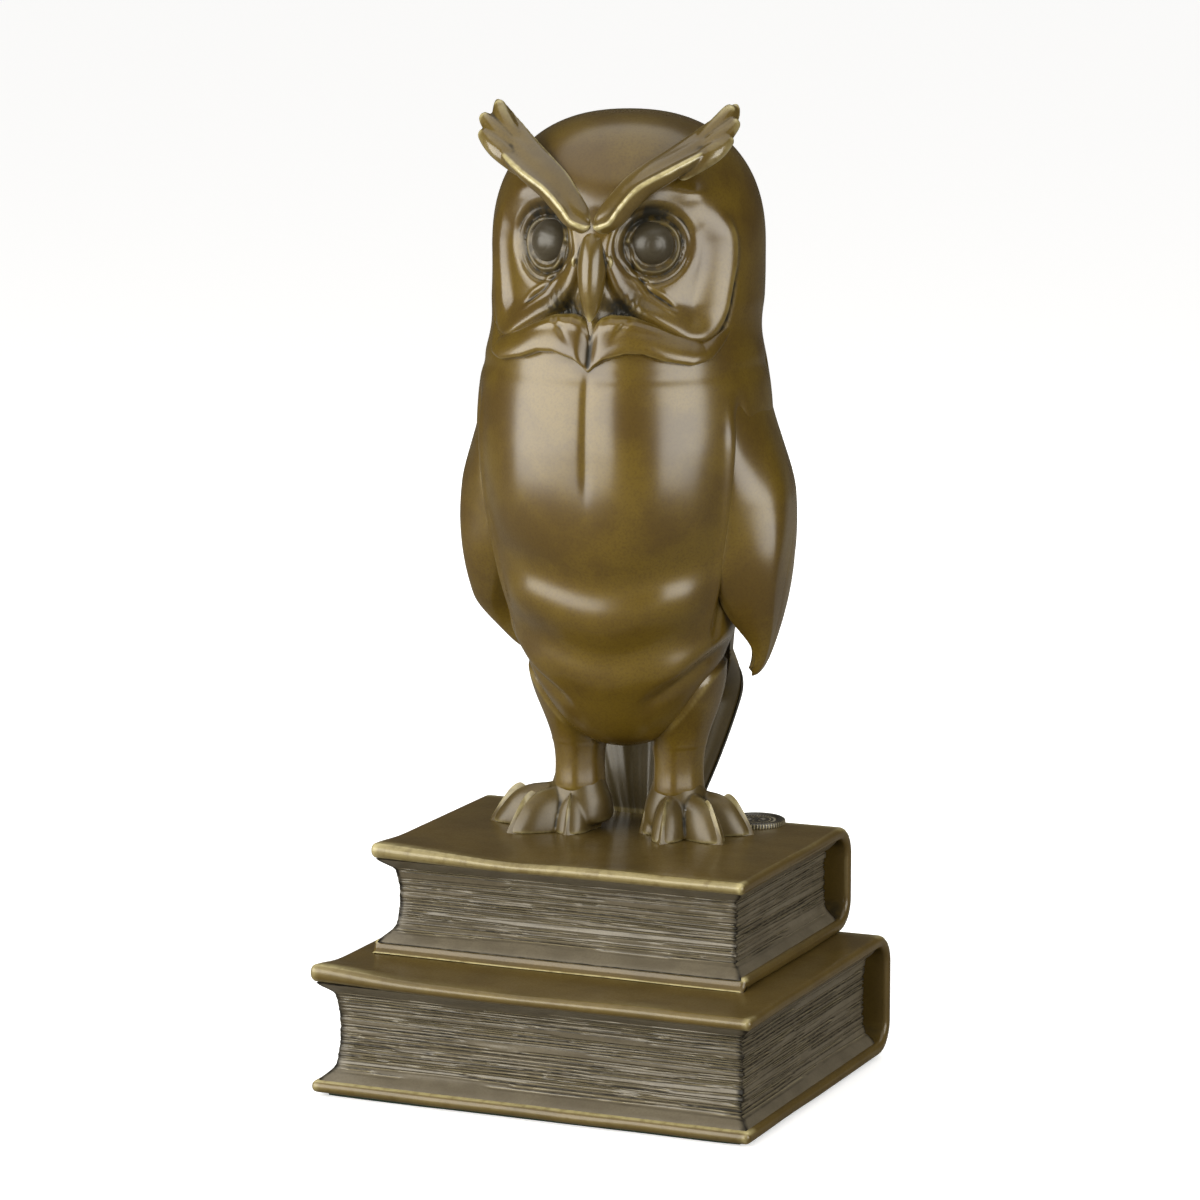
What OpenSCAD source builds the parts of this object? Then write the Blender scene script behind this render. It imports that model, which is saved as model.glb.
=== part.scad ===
// Bronze owl standing on a stack of two closed books.
//
// The owl is a set of hollow and solid cast sections that are brazed face to face. Studs fixed in its
// feet pass through the upper book's top board, where washers and nuts pull the owl down. Four bolts
// join the two hollow books, and a felt sheet closes the underside. The origin is the centre of the
// underside, +Z is up, and the fore edges of the books face -Y. The owl is turned a little towards +X.

/* [Lower book] */
// Width of the lower book along its fore edge
lower_w = 134; // [112:1:162]
// Depth of the lower book from fore edge to spine
lower_d = 112; // [94:1:135]
// Height of the lower book over both boards
lower_h = 35.5; // [29:0.5:43]

/* [Upper book] */
// Width of the upper book along its fore edge
upper_w = 115; // [96:1:138]
// Depth of the upper book from fore edge to spine
upper_d = 86; // [78:1:103]
// Height of the upper book over both boards
upper_h = 31.1; // [26:0.1:37.5]
// Shift of the upper book towards the left
upper_shift = 3; // [0:0.5:8]

/* [Binding] */
// Thickness of each cover board and of the spine
board_t = 3.6; // [3:0.1:4.4]
// Radius of the spine's corners
spine_r = 9; // [7.5:0.5:11]
// How far the page block stands back from the boards
page_inset = 4; // [2:0.5:6]
// Depth of the hollow along the fore edge
fore_hollow = 4.5; // [2:0.5:5.5]
// Wall of the hollow page block
page_wall = 3.5; // [2.5:0.1:4.2]
// Thickness of the felt sheet
felt_t = 1; // [0.8:0.1:2]
// How far the felt stands back from the lower book's edge
felt_inset = 3; // [2:0.5:6]

/* [Owl place] */
// Distance of the owl's axis behind the upper book's centre
owl_back = 9; // [0:0.5:12]
// Distance of the owl's axis to the right of the upper book's centre
owl_side = 0.7; // [-4:0.1:4]
// Turn of the owl about its axis
owl_turn = 8; // [-15:1:15]

/* [Owl body] */
// Wall of the hollow castings
cast_wall = 3; // [2.2:0.1:4]
// Largest radius of the torso
torso_r_max = 42.4; // [38:0.2:44]
// How far the torso's axis stands in front of the head's axis
torso_forward = 4; // [2:0.5:5]
// Height of the torso's lowest point over the upper book
torso_low = 31; // [28:0.5:37]
// Height of the torso's widest ring over the upper book
torso_wide = 117; // [105:1:125]
// Height of the joint between torso and head over the upper book
neck_h = 144.5; // [136:0.5:150]
// Narrowing of the torso at the neck
neck_taper = 3.4; // [2:0.2:5]
// Radius of the spigot that centres the head on the torso
spigot_r = 28; // [22:0.5:29]
// Length of the head's spigot
spigot_h = 6; // [4:0.5:8]
// Radial clearance of the spigot in the torso's bore
neck_clear = 0.15; // [0.1:0.05:0.3]

/* [Owl head] */
// Largest radius of the head
head_r = 38.5; // [34:0.5:40]
// Height of the dome over the widest ring of the head
dome_h = 38.5; // [33:0.5:42]
// Height of the head's widest ring over the neck joint
head_wide = 25.5; // [22:0.5:29]
// Height of the ear tufts' tips over the neck joint
tuft_h = 67.9; // [64:0.1:76]
// Radius of each eyeball
eye_r = 9; // [8:0.5:10.5]
// Angle of each eye from the beak, about the head's axis
eye_angle = 26.5; // [24:0.5:30]

/* [Wings and tail] */
// Thickness of a wing where it stands clear of the torso
wing_t = 7; // [5:0.5:8]
// Largest radius over the wings
wing_r_max = 48.7; // [46:0.2:51]
// Thickness of the tail
tail_t = 9; // [7:0.5:11]
// Width of the tail at the rump
tail_w = 60; // [50:1:64]

/* [Legs and feet] */
// Distance of each ankle from the owl's middle plane
ankle_x = 16; // [15:0.5:19]
// Radius of a leg at the ankle
leg_r = 7.6; // [6.5:0.1:9]
// Height of the ankle over the upper book
ankle_h = 15; // [13:0.5:18]
// Radius of the peg that locates a leg in the torso
peg_r = 4; // [3:0.5:5]
// Clearance around a leg's peg
peg_clear = 0.1; // [0.05:0.05:0.2]
// Length of the longest toe, claw included
toe_l = 24; // [20:0.5:28]

/* [Fixings] */
// Radius of the studs in the feet
stud_r = 2.5; // [2:0.5:3]
// Depth of each stud in its foot
stud_deep = 9; // [7:0.5:10]
// Clearance of studs and bolts in the boards
bolt_clear = 0.25; // [0.2:0.05:0.4]
// Radius of the bolts that join the books
bolt_r = 2; // [1.5:0.5:2.5]
// Thickness of a washer
washer_t = 1; // [0.8:0.1:1.5]
// Thickness of a nut or bolt head
nut_t = 3.5; // [3:0.1:4.5]

/* [Seal] */
// Radius of the round seal on the upper book
seal_r = 8.5; // [7:0.5:10]
// Thickness of the seal at its rim
seal_t = 1.6; // [1.2:0.1:2.2]
// Radius of the pin under the seal
seal_pin_r = 1.5; // [1:0.25:2]

/* [Hidden] */
$fn = 64;

bronze = [0.40, 0.31, 0.12];
dark_bronze = [0.27, 0.20, 0.08];
pale_bronze = [0.72, 0.63, 0.38];
page_bronze = [0.45, 0.41, 0.34];
steel = [0.70, 0.71, 0.72];
baize = [0.10, 0.22, 0.14];

// Where the books lie
seam_z = felt_t + lower_h;
top_z = seam_z + upper_h;
upper_x = -upper_shift;
upper_y = (lower_d - upper_d) / 2;
owl_x = upper_x + owl_side;
owl_y = upper_y + owl_back;

// Heights of the owl
low_z = top_z + torso_low;
wide_z = top_z + torso_wide;
neck_z = top_z + neck_h;
ring_z = neck_z + head_wide;
crown_z = ring_z + dome_h;
tuft_z = neck_z + tuft_h;
ankle_z = top_z + ankle_h;

// Fullness of the dome and of the belly
dome_power = 2.35;
belly_power = 1.5;
belly_root = 0.43;
curve_steps = 14;

// Hollow of the upper page block, and the bolts in the corners of what both books leave open
hollow_x = upper_w / 2 - page_inset - page_wall;
hollow_front = -upper_d / 2 + page_inset + fore_hollow + page_wall;
hollow_back = upper_d / 2 - spine_r - page_wall;
bolt_edge = 3.2 * bolt_r;
bolt_x = min(hollow_x, lower_w / 2 - page_inset - page_wall - upper_shift) - bolt_edge;
window_edge = 2 * bolt_edge;

// Radius of a thigh at its widest, and how far the tail stays clear of it
thigh_r = 13;
thigh_clear = 0.5;

// Stud in the middle of each foot
stud_x = ankle_x + 4;
stud_y = -6;
stud_under = board_t + washer_t + nut_t + 2;
stud_clear = 0.1;

// Thickness of a toe, and of its claw's tip
toe_r = 5.2;
claw_tip_r = 0.5;

// Seal on the upper book's top board
seal_x = upper_x + upper_w / 2 - 3 * seal_r;
seal_y = upper_y + upper_d / 2 - spine_r - 3.5;
seal_pin_l = board_t - 0.6;

// ---------------------------------------------------------------- books

// Outline of a closed cover seen from its end: fore edge at -Y, round spine corners at +Y
module cover_outline(d, h, r) {
    translate([-d / 2, 0]) square([d - r, h]);
    translate([d / 2 - r - 0.01, r]) square([r + 0.01, h - 2 * r]);
    translate([d / 2 - r, r]) circle(r);
    translate([d / 2 - r, h - r]) circle(r);
}

// One cover: two boards and a spine, bent in one piece
module cover(w, d, h) {
    rotate([90, 0, 90])
        linear_extrude(w, center = true)
            difference() {
                cover_outline(d, h, spine_r);
                translate([-board_t, board_t])
                    cover_outline(d, h - 2 * board_t, spine_r - board_t);
            }
}

// One page block: a hollow frame with a hollowed fore edge, as tall as the gap between the boards
module page_block(w, d, h) {
    gap = h - 2 * board_t;
    hollow_radius = (pow(gap / 2, 2) + pow(fore_hollow, 2)) / (2 * fore_hollow);
    front = -d / 2 + page_inset;
    back = d / 2 - spine_r;
    wide = w - 2 * page_inset;
    difference() {
        translate([-wide / 2, front, board_t]) cube([wide, back - front, gap]);
        translate([0, front + fore_hollow - hollow_radius, h / 2])
            rotate([0, 90, 0])
                cylinder(h = w, r = hollow_radius, center = true, $fn = 96);
        translate([-wide / 2 + page_wall, front + fore_hollow + page_wall, 0])
            cube([wide - 2 * page_wall, back - front - fore_hollow - 2 * page_wall, h]);
    }
}

// Opening in the boards that gives a hand and a spanner access to the nuts
module window(z) {
    translate([upper_x - bolt_x + bolt_edge, upper_y + hollow_front + window_edge, z])
        cube([2 * (bolt_x - bolt_edge), hollow_back - hollow_front - 2 * window_edge, 3 * board_t]);
}

// Calls its children at each of the four bolts between the books
module at_bolts() {
    for (side = [-1, 1], y = [hollow_front + bolt_edge, hollow_back - bolt_edge])
        translate([upper_x + side * bolt_x, upper_y + y, 0]) children();
}

module bolt_holes(z) {
    at_bolts() translate([0, 0, z]) cylinder(h = 3 * board_t, r = bolt_r + bolt_clear);
}

module felt_pad() {
    color(baize)
        translate([felt_inset - lower_w / 2, felt_inset - lower_d / 2, 0])
            cube([lower_w - 2 * felt_inset, lower_d - 2 * felt_inset - spine_r / 2, felt_t]);
}

module lower_book_cover() {
    rim = page_inset + fore_hollow + page_wall;
    color(bronze)
        difference() {
            translate([0, 0, felt_t]) cover(lower_w, lower_d, lower_h);
            // The underside is open, so that the bolts can be reached
            translate([-lower_w / 2 + rim, -lower_d / 2 + rim, 0])
                cube([lower_w - 2 * rim, lower_d - 2 * rim - spine_r / 2, felt_t + 2 * board_t]);
            window(seam_z - 2 * board_t);
            bolt_holes(seam_z - 2 * board_t);
        }
}

module lower_book_pages() {
    color(page_bronze) translate([0, 0, felt_t]) page_block(lower_w, lower_d, lower_h);
}

module upper_book_cover() {
    color(bronze)
        difference() {
            translate([upper_x, upper_y, seam_z]) cover(upper_w, upper_d, upper_h);
            window(seam_z - board_t);
            bolt_holes(seam_z - board_t);
            at_feet() translate([stud_x, stud_y, top_z - 2 * board_t])
                cylinder(h = 3 * board_t, r = stud_r + bolt_clear);
            translate([seal_x, seal_y, top_z - seal_pin_l - bolt_clear])
                cylinder(h = board_t, r = seal_pin_r + bolt_clear);
        }
}

module upper_book_pages() {
    color(page_bronze) translate([upper_x, upper_y, seam_z]) page_block(upper_w, upper_d, upper_h);
}

// Round seal with a raised rim and a pin that sits in the top board
module foundry_seal() {
    rim = 1.2;
    sunk = 0.4;
    color(dark_bronze)
        translate([seal_x, seal_y, top_z])
            rotate_extrude()
                polygon([
                    [0, -seal_pin_l], [seal_pin_r, -seal_pin_l], [seal_pin_r, 0], [seal_r, 0],
                    [seal_r, seal_t - 0.4], [seal_r - 0.4, seal_t], [seal_r - rim, seal_t],
                    [seal_r - rim - sunk, seal_t - sunk], [0, seal_t - sunk]
                ]);
}

// ---------------------------------------------------------------- owl: shared forms

// Moves the owl's own frame, with its beak towards -Y, onto the upper book
module owl_frame() {
    translate([owl_x, owl_y, 0]) rotate([0, 0, owl_turn]) children();
}

// Calls its children for the right foot and mirrored for the left one, in the row frame
module at_feet() {
    owl_frame() {
        children();
        mirror([1, 0, 0]) children();
    }
}

// Rising curve of the torso from its lowest point to its widest ring, for a shell this much smaller
function belly(less) = [
    for (i = [0:curve_steps])
        let (u = cos(90 * i / curve_steps))
            [
                (torso_r_max - less) * pow(1 - pow(u, belly_power), belly_root),
                wide_z - u * (wide_z - low_z - less)
            ]
];

// Curve of the chest from the widest ring up to a height below the neck
function chest(less, top) = [
    for (i = [1:4])
        let (z = wide_z + (top - wide_z) * i / 4)
            [torso_r_max - less - neck_taper * pow((z - wide_z) / (neck_z - wide_z), 2), z]
];

// Curve of the dome from the widest ring to the crown
function dome(less) = [
    for (i = [0:curve_steps])
        let (a = 90 * i / curve_steps)
            [
                (head_r - less) * pow(cos(a), 2 / dome_power),
                ring_z + (dome_h - less) * pow(sin(a), 2 / dome_power)
            ]
];

head_seat_r = head_r - 0.8;

module torso_solid() {
    translate([0, -torso_forward, 0])
        rotate_extrude() polygon(concat(belly(0), chest(0, neck_z), [[0, neck_z]]));
}

module head_solid() {
    rotate_extrude() polygon(concat([[0, neck_z], [head_seat_r, neck_z]], dome(0)));
}

// ---------------------------------------------------------------- owl: castings

module torso_shell() {
    inner_top = neck_z - cast_wall;
    color(bronze)
        owl_frame()
            difference() {
                torso_solid();
                translate([0, -torso_forward, 0])
                    rotate_extrude()
                        polygon(concat(belly(cast_wall), chest(cast_wall, inner_top), [[0, inner_top]]));
                translate([0, 0, neck_z - 2 * cast_wall])
                    cylinder(h = 3 * cast_wall, r = spigot_r + neck_clear);
                for (side = [-1, 1])
                    translate([side * ankle_x, 0, low_z - 1])
                        cylinder(h = wide_z - low_z - 20, r = peg_r + peg_clear);
            }
}

// Hollow head that seats on the torso, with a spigot that drops into the torso's bore
module head_shell() {
    inside = spigot_r - cast_wall;
    color(bronze)
        owl_frame()
            rotate_extrude()
                polygon(concat(
                    [
                        [inside, neck_z - spigot_h], [spigot_r, neck_z - spigot_h], [spigot_r, neck_z],
                        [head_seat_r, neck_z]
                    ],
                    dome(0),
                    [for (i = [curve_steps:-1:0]) dome(cast_wall)[i]],
                    [[head_seat_r - cast_wall, neck_z + cast_wall], [inside, neck_z + cast_wall]]
                ));
}

// Two soft lobes of feathers under the chin, as one crescent over the neck joint
module neck_ruff() {
    below = 13;
    above = 6;
    stand = 2.8;
    r = torso_r_max - neck_taper / 2;
    color(bronze)
        owl_frame()
            difference() {
                intersection() {
                    translate([0, -torso_forward, neck_z])
                        rotate_extrude()
                            polygon([
                                [r / 2, -below], [r, -below], [r + stand, 4 - below], [r + stand, -2],
                                [r + stand / 2, above / 2], [r - stand / 2, above], [r / 2, above]
                            ]);
                    translate([-2 * r, -2 * r, neck_z - 2 * below]) cube([4 * r, 1.75 * r, 4 * below]);
                }
                torso_solid();
                head_solid();
            }
}

// Brow that rises from the bridge of the beak and ends in an ear tuft, on the owl's left side
module brow_tuft() {
    path = [
        [2.5, 3.4 - head_r, ring_z + 9, 4.2],
        [0.38 * head_r, 2.5 - 0.95 * head_r, ring_z + 15, 4.8],
        [0.75 * head_r, 1 - 0.62 * head_r, ring_z + 23, 5],
        [0.95 * head_r, -0.38 * head_r, tuft_z - 2.6, 2.6]
    ];
    difference() {
        for (i = [0:2])
            hull() {
                translate([path[i].x, path[i].y, path[i].z]) sphere(path[i][3], $fn = 24);
                translate([path[i + 1].x, path[i + 1].y, path[i + 1].z]) sphere(path[i + 1][3], $fn = 24);
            }
        head_solid();
        // The two brows meet on the middle plane
        translate([-20, -2 * head_r, ring_z]) cube([20, 2 * head_r, dome_h]);
    }
}

module brow_tuft_left() {
    color(pale_bronze) owl_frame() brow_tuft();
}

module brow_tuft_right() {
    color(pale_bronze) owl_frame() mirror([1, 0, 0]) brow_tuft();
}

// Bulging eye with its lids, seated on the outside of the head
module eye() {
    difference() {
        rotate([0, 0, eye_angle]) translate([0, -head_r + 0.6 * eye_r, ring_z + 2]) sphere(eye_r);
        head_solid();
    }
}

module eye_left() {
    color(dark_bronze) owl_frame() eye();
}

module eye_right() {
    color(dark_bronze) owl_frame() mirror([1, 0, 0]) eye();
}

// Hooked beak between the eyes
module beak() {
    ridge = [
        [2 - head_r, ring_z + 0.5, 3.4],
        [-head_r - 1.4, ring_z - 6, 3],
        [-head_r - 1.6, ring_z - 16, 1.4]
    ];
    color(pale_bronze)
        owl_frame()
            difference() {
                for (i = [0:1])
                    hull() {
                        translate([0, ridge[i].x, ridge[i].y]) sphere(ridge[i].z, $fn = 24);
                        translate([0, ridge[i + 1].x, ridge[i + 1].y]) sphere(ridge[i + 1].z, $fn = 24);
                    }
                head_solid();
            }
}

// Folded wing on the owl's left flank: a curved plate cut to a leaf that ends in a point
module wing() {
    top = neck_z - 14;
    tip = top_z + 53.5;
    mid = (top + tip) / 2;
    half = (top - tip) / 2;
    drop = 8;
    arc_r = (half * half + drop * drop) / (2 * drop);
    steps = 8;
    outer = [
        for (i = [0:steps])
            let (z = tip + (top - tip) * i / steps)
                [wing_r_max - arc_r + sqrt(arc_r * arc_r - pow(z - mid, 2)), z]
    ];
    difference() {
        intersection() {
            translate([0, -torso_forward, 0])
                rotate_extrude()
                    polygon(concat(outer, [for (i = [steps:-1:0]) outer[i] - [wing_t, 0]]));
            rotate([90, 0, 90])
                linear_extrude(2 * wing_r_max)
                    polygon([
                        [-20, top], [-0.48 * wing_r_max, top - 8], [-0.49 * wing_r_max, mid - 8],
                        [-12, tip + 11], [-2, tip], [5, tip], [20, tip + 20], [31, mid],
                        [33, top - 12], [24, top]
                    ]);
        }
        torso_solid();
    }
}

module wing_left() {
    color(bronze) owl_frame() wing();
}

module wing_right() {
    color(bronze) owl_frame() mirror([1, 0, 0]) wing();
}

// Tail that leaves the back under the wings and comes down on the upper book
module tail() {
    lean = 7;
    reach = torso_low + 36;
    outline = [
        [-0.5 * tail_w, reach], [0.5 * tail_w, reach], [0.45 * tail_w, 0.62 * reach],
        [0.29 * tail_w, 8], [0.14 * tail_w, -2], [-0.14 * tail_w, -2],
        [-0.29 * tail_w, 8], [-0.45 * tail_w, 0.62 * reach]
    ];
    color(dark_bronze)
        owl_frame()
            difference() {
                translate([0, torso_r_max - torso_forward - 6, top_z])
                    rotate([90 + lean, 0, 0]) linear_extrude(tail_t) polygon(outline);
                torso_solid();
                translate([-tail_w, 0, top_z - 20]) cube([2 * tail_w, 2 * tail_w, 20]);
                for (side = [-1, 1])
                    translate([side * ankle_x, 0, top_z - 1])
                        cylinder(h = reach, r = thigh_r + thigh_clear);
            }
}

// Leg that widens into the thigh, cut to the torso's underside, with a peg that enters the torso
module leg() {
    thigh_z = low_z + 12;
    difference() {
        translate([ankle_x, 0, 0])
            rotate_extrude()
                polygon([
                    [0, ankle_z], [leg_r, ankle_z], [leg_r, ankle_z + 4], [leg_r + 1.6, low_z - 3],
                    [thigh_r - 1.5, low_z + 4], [thigh_r, thigh_z], [thigh_r - 2, thigh_z + 6],
                    [thigh_r - 6, thigh_z + 10], [0, thigh_z + 12]
                ]);
        torso_solid();
    }
    translate([ankle_x, 0, ankle_z + 2]) cylinder(h = thigh_z - ankle_z + 8, r = peg_r);
}

module leg_left() {
    color(bronze) owl_frame() leg();
}

module leg_right() {
    color(bronze) owl_frame() mirror([1, 0, 0]) leg();
}

// Toe along +X with its claw, from the ankle's axis, standing on z = 0
module toe(length) {
    knuckle = 0.58 * length;
    root = [0, 0, toe_r + 3];
    joint = [knuckle, 0, toe_r - 0.4];
    drop = atan2(root.z - joint.z, knuckle);
    hook = atan2(joint.z - claw_tip_r, length - knuckle);
    translate(root) sphere(toe_r + 0.8);
    translate(root)
        rotate([0, 90 + drop, 0])
            cylinder(h = norm(joint - root), r1 = toe_r + 0.7, r2 = toe_r - 0.1);
    translate(joint) sphere(toe_r);
    translate(joint)
        rotate([0, 90 + hook, 0])
            cylinder(h = norm([length - knuckle, joint.z - claw_tip_r]), r1 = toe_r - 1, r2 = claw_tip_r);
}

// Foot with four spread toes, flat underneath, with a bore for its stud
module foot() {
    spread = 48;
    shares = [1, 1, 0.8, 0.55];
    difference() {
        translate([ankle_x, 0, top_z]) {
            cylinder(h = ankle_h, r1 = leg_r + 3, r2 = leg_r);
            for (i = [0:3]) rotate([0, 0, -i * spread]) toe(shares[i] * toe_l);
        }
        translate([-2 * toe_l, -2 * toe_l, top_z - 20]) cube([5 * toe_l, 4 * toe_l, 20]);
        translate([stud_x, stud_y, top_z - 1]) cylinder(h = stud_deep + 1, r = stud_r + stud_clear);
    }
}

module foot_left() {
    color(pale_bronze) owl_frame() foot();
}

module foot_right() {
    color(pale_bronze) owl_frame() mirror([1, 0, 0]) foot();
}

// ---------------------------------------------------------------- fixings

module foot_studs() {
    color(steel)
        at_feet()
            translate([stud_x, stud_y, top_z - stud_under])
                cylinder(h = stud_under + stud_deep - 0.5, r = stud_r);
}

module foot_washers() {
    color(steel)
        at_feet()
            translate([stud_x, stud_y, top_z - board_t - washer_t])
                difference() {
                    cylinder(h = washer_t, r = 2.1 * stud_r);
                    translate([0, 0, -1]) cylinder(h = washer_t + 2, r = stud_r + bolt_clear);
                }
}

// Six-sided nut with a plain bore, standing on z = 0
module nut(r) {
    difference() {
        cylinder(h = nut_t, r = 1.85 * r, $fn = 6);
        translate([0, 0, -1]) cylinder(h = nut_t + 2, r = r + 0.05);
    }
}

module foot_nuts() {
    color(steel)
        at_feet() translate([stud_x, stud_y, top_z - board_t - washer_t - nut_t]) nut(stud_r);
}

module book_bolts() {
    color(steel)
        at_bolts() {
            translate([0, 0, seam_z - board_t - nut_t]) cylinder(h = nut_t, r = 1.85 * bolt_r, $fn = 6);
            translate([0, 0, seam_z - board_t])
                cylinder(h = 2 * board_t + washer_t + nut_t + 1.5, r = bolt_r);
        }
}

module book_washers() {
    color(steel)
        at_bolts()
            translate([0, 0, seam_z + board_t])
                difference() {
                    cylinder(h = washer_t, r = 2.1 * bolt_r);
                    translate([0, 0, -1]) cylinder(h = washer_t + 2, r = bolt_r + bolt_clear);
                }
}

module book_nuts() {
    color(steel) at_bolts() translate([0, 0, seam_z + board_t + washer_t]) nut(bolt_r);
}

felt_pad();
lower_book_cover();
lower_book_pages();
upper_book_cover();
upper_book_pages();
foundry_seal();
torso_shell();
head_shell();
neck_ruff();
brow_tuft_left();
brow_tuft_right();
eye_left();
eye_right();
beak();
wing_left();
wing_right();
tail();
leg_left();
leg_right();
foot_left();
foot_right();
foot_studs();
foot_washers();
foot_nuts();
book_bolts();
book_washers();
book_nuts();
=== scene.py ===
"""Bronze owl standing on two closed books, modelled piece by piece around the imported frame.

Sizes in the classes are millimetres, as a sculptor would note them, and turn into metres when a
piece is written. The owl's own axes have its beak towards -Y and its left side towards +X.
"""

import sys
import logging
import math
from dataclasses import dataclass, field
from enum import Enum
from typing import Callable

import bmesh
import bpy
import numpy as np
from mathutils import Matrix, Vector


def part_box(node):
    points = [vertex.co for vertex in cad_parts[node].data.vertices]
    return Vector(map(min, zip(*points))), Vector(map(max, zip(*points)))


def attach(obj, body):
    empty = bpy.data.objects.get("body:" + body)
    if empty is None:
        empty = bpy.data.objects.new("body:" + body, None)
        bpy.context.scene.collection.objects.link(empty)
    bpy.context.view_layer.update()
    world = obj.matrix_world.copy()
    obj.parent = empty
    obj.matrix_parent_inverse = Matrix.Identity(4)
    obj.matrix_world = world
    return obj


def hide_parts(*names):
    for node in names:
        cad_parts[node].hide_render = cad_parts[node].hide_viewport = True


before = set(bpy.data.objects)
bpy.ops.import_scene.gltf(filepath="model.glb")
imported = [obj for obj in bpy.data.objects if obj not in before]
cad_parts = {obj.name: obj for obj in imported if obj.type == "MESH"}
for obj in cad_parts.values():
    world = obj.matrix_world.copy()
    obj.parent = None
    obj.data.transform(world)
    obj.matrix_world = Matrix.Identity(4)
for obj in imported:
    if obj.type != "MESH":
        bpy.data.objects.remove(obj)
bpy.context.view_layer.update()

LOG = logging.getLogger("owl")
MM = 0.001
BUMP_DEPTH = 0.0003
BODY = "root"
Array = np.ndarray
Colour = tuple[float, float, float]


class Side(Enum):
    """Which side of the owl a piece is on, as the sign of its own X axis."""

    LEFT = 1
    RIGHT = -1

    @property
    def word(self) -> str:
        """The side's name as the frame's nodes have it."""
        return self.name.lower()


# ---------------------------------------------------------------- small maths


def ease(low: float, high: float, x: Array) -> Array:
    """Smooth step from 0 at low to 1 at high.

    Args:
        low: where the step starts.
        high: where it ends; it may lie below low.
        x: the values to step.

    Returns:
        Values from 0 to 1.
    """
    t = np.clip((np.asarray(x, float) - low) / (high - low), 0.0, 1.0)
    return t * t * (3.0 - 2.0 * t)


def hump(x: Array, centre: float, width: float) -> Array:
    """Bell of height 1 about centre, down to a third at one width away."""
    return np.exp(-(((np.asarray(x, float) - centre) / width) ** 2))


def mix(a: Array, b: Array, t: Array) -> Array:
    """The value t of the way from a to b."""
    return a + (b - a) * t


def unit(v: Array) -> Array:
    """Rows of v at length 1."""
    return v / np.maximum(np.linalg.norm(v, axis=-1, keepdims=True), 1e-9)


def spline(knots: Array, count: int, closed: bool = False) -> Array:
    """Evenly parameterised Catmull-Rom curve through some knots.

    Args:
        knots: the points, one per row.
        count: how many points to return.
        closed: True if the last knot joins the first.

    Returns:
        The points of the curve, one per row.
    """
    p = np.asarray(knots, float)
    if closed:
        p = np.vstack([p[-1], p, p[0], p[1]])
        t = np.linspace(0, len(p) - 3, count, endpoint=False)
    else:
        p = np.vstack([2 * p[0] - p[1], p, 2 * p[-1] - p[-2]])
        t = np.linspace(0, len(p) - 3, count)
    i = np.minimum(t.astype(int), len(p) - 4)
    f = (t - i)[:, None]
    a, b, c, d = p[i], p[i + 1], p[i + 2], p[i + 3]
    return 0.5 * (2 * b + (c - a) * f + (2 * a - 5 * b + 4 * c - d) * f**2 + (3 * b - a - 3 * c + d) * f**3)


def along(knots: Array, t: Array) -> Array:
    """Points at shares t, from 0 to 1, of a smooth curve through some knots."""
    fine = spline(knots, 400)
    x = np.clip(t, 0, 1) * (len(fine) - 1)
    return np.stack([np.interp(x, np.arange(len(fine)), fine[:, k]) for k in range(fine.shape[1])], -1)


def lattice_noise(points: Array, size: float, seed: int) -> Array:
    """Smooth random values from -1 to 1 over space.

    Args:
        points: the places, one per row of three.
        size: distance between two independent values.
        seed: which random field it is.

    Returns:
        One value per place.
    """
    p = points / size + 1000.0
    cell = np.floor(p).astype(np.int64)
    f = p - cell
    f = f * f * (3 - 2 * f)
    total = np.zeros(len(points))
    for corner in range(8):
        step = np.array([corner & 1, corner >> 1 & 1, corner >> 2 & 1])
        c = cell + step
        key = c[:, 0] * 73856093 ^ c[:, 1] * 19349663 ^ c[:, 2] * 83492791 ^ seed * 2654435761
        key = (key ^ (key >> 13)) * 1274126177
        value = ((key >> 8) & 65535) / 32767.5 - 1.0
        total += value * np.prod(np.where(step == 1, f, 1 - f), axis=1)
    return total


def to_segments(x: Array, z: Array, line: Array) -> Array:
    """Distance of each point (x, z) from an open line of points."""
    best = np.full(np.shape(x), 1e9)
    for (x0, z0), (x1, z1) in zip(line[:-1], line[1:]):
        dx, dz = x1 - x0, z1 - z0
        t = np.clip(((x - x0) * dx + (z - z0) * dz) / (dx * dx + dz * dz + 1e-12), 0, 1)
        best = np.minimum(best, np.hypot(x - x0 - t * dx, z - z0 - t * dz))
    return best


def depth_inside(x: Array, z: Array, outline: Array) -> Array:
    """Distance inside a closed outline, negative outside it."""
    inside = np.zeros(np.shape(x), bool)
    for (x0, z0), (x1, z1) in zip(outline, np.roll(outline, -1, axis=0)):
        crosses = (z0 > z) != (z1 > z)
        inside ^= crosses & (x < x0 + (z - z0) * (x1 - x0) / (z1 - z0 + 1e-12))
    away = to_segments(x, z, np.vstack([outline, outline[:1]]))
    return np.where(inside, away, -away)


def rounded(edge: Array) -> Array:
    """Quarter-round rise from 0 to 1 as the distance from an edge goes from 0 to 1."""
    return np.sqrt(np.clip(1 - (1 - np.clip(edge, 0, 1)) ** 2, 0, 1))


def box_mm(node: str) -> tuple[Array, Array]:
    """Lowest and highest corner of a frame node, in millimetres."""
    low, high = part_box(node)
    return np.array(low) / MM, np.array(high) / MM


# ---------------------------------------------------------------- meshes from operators


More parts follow.
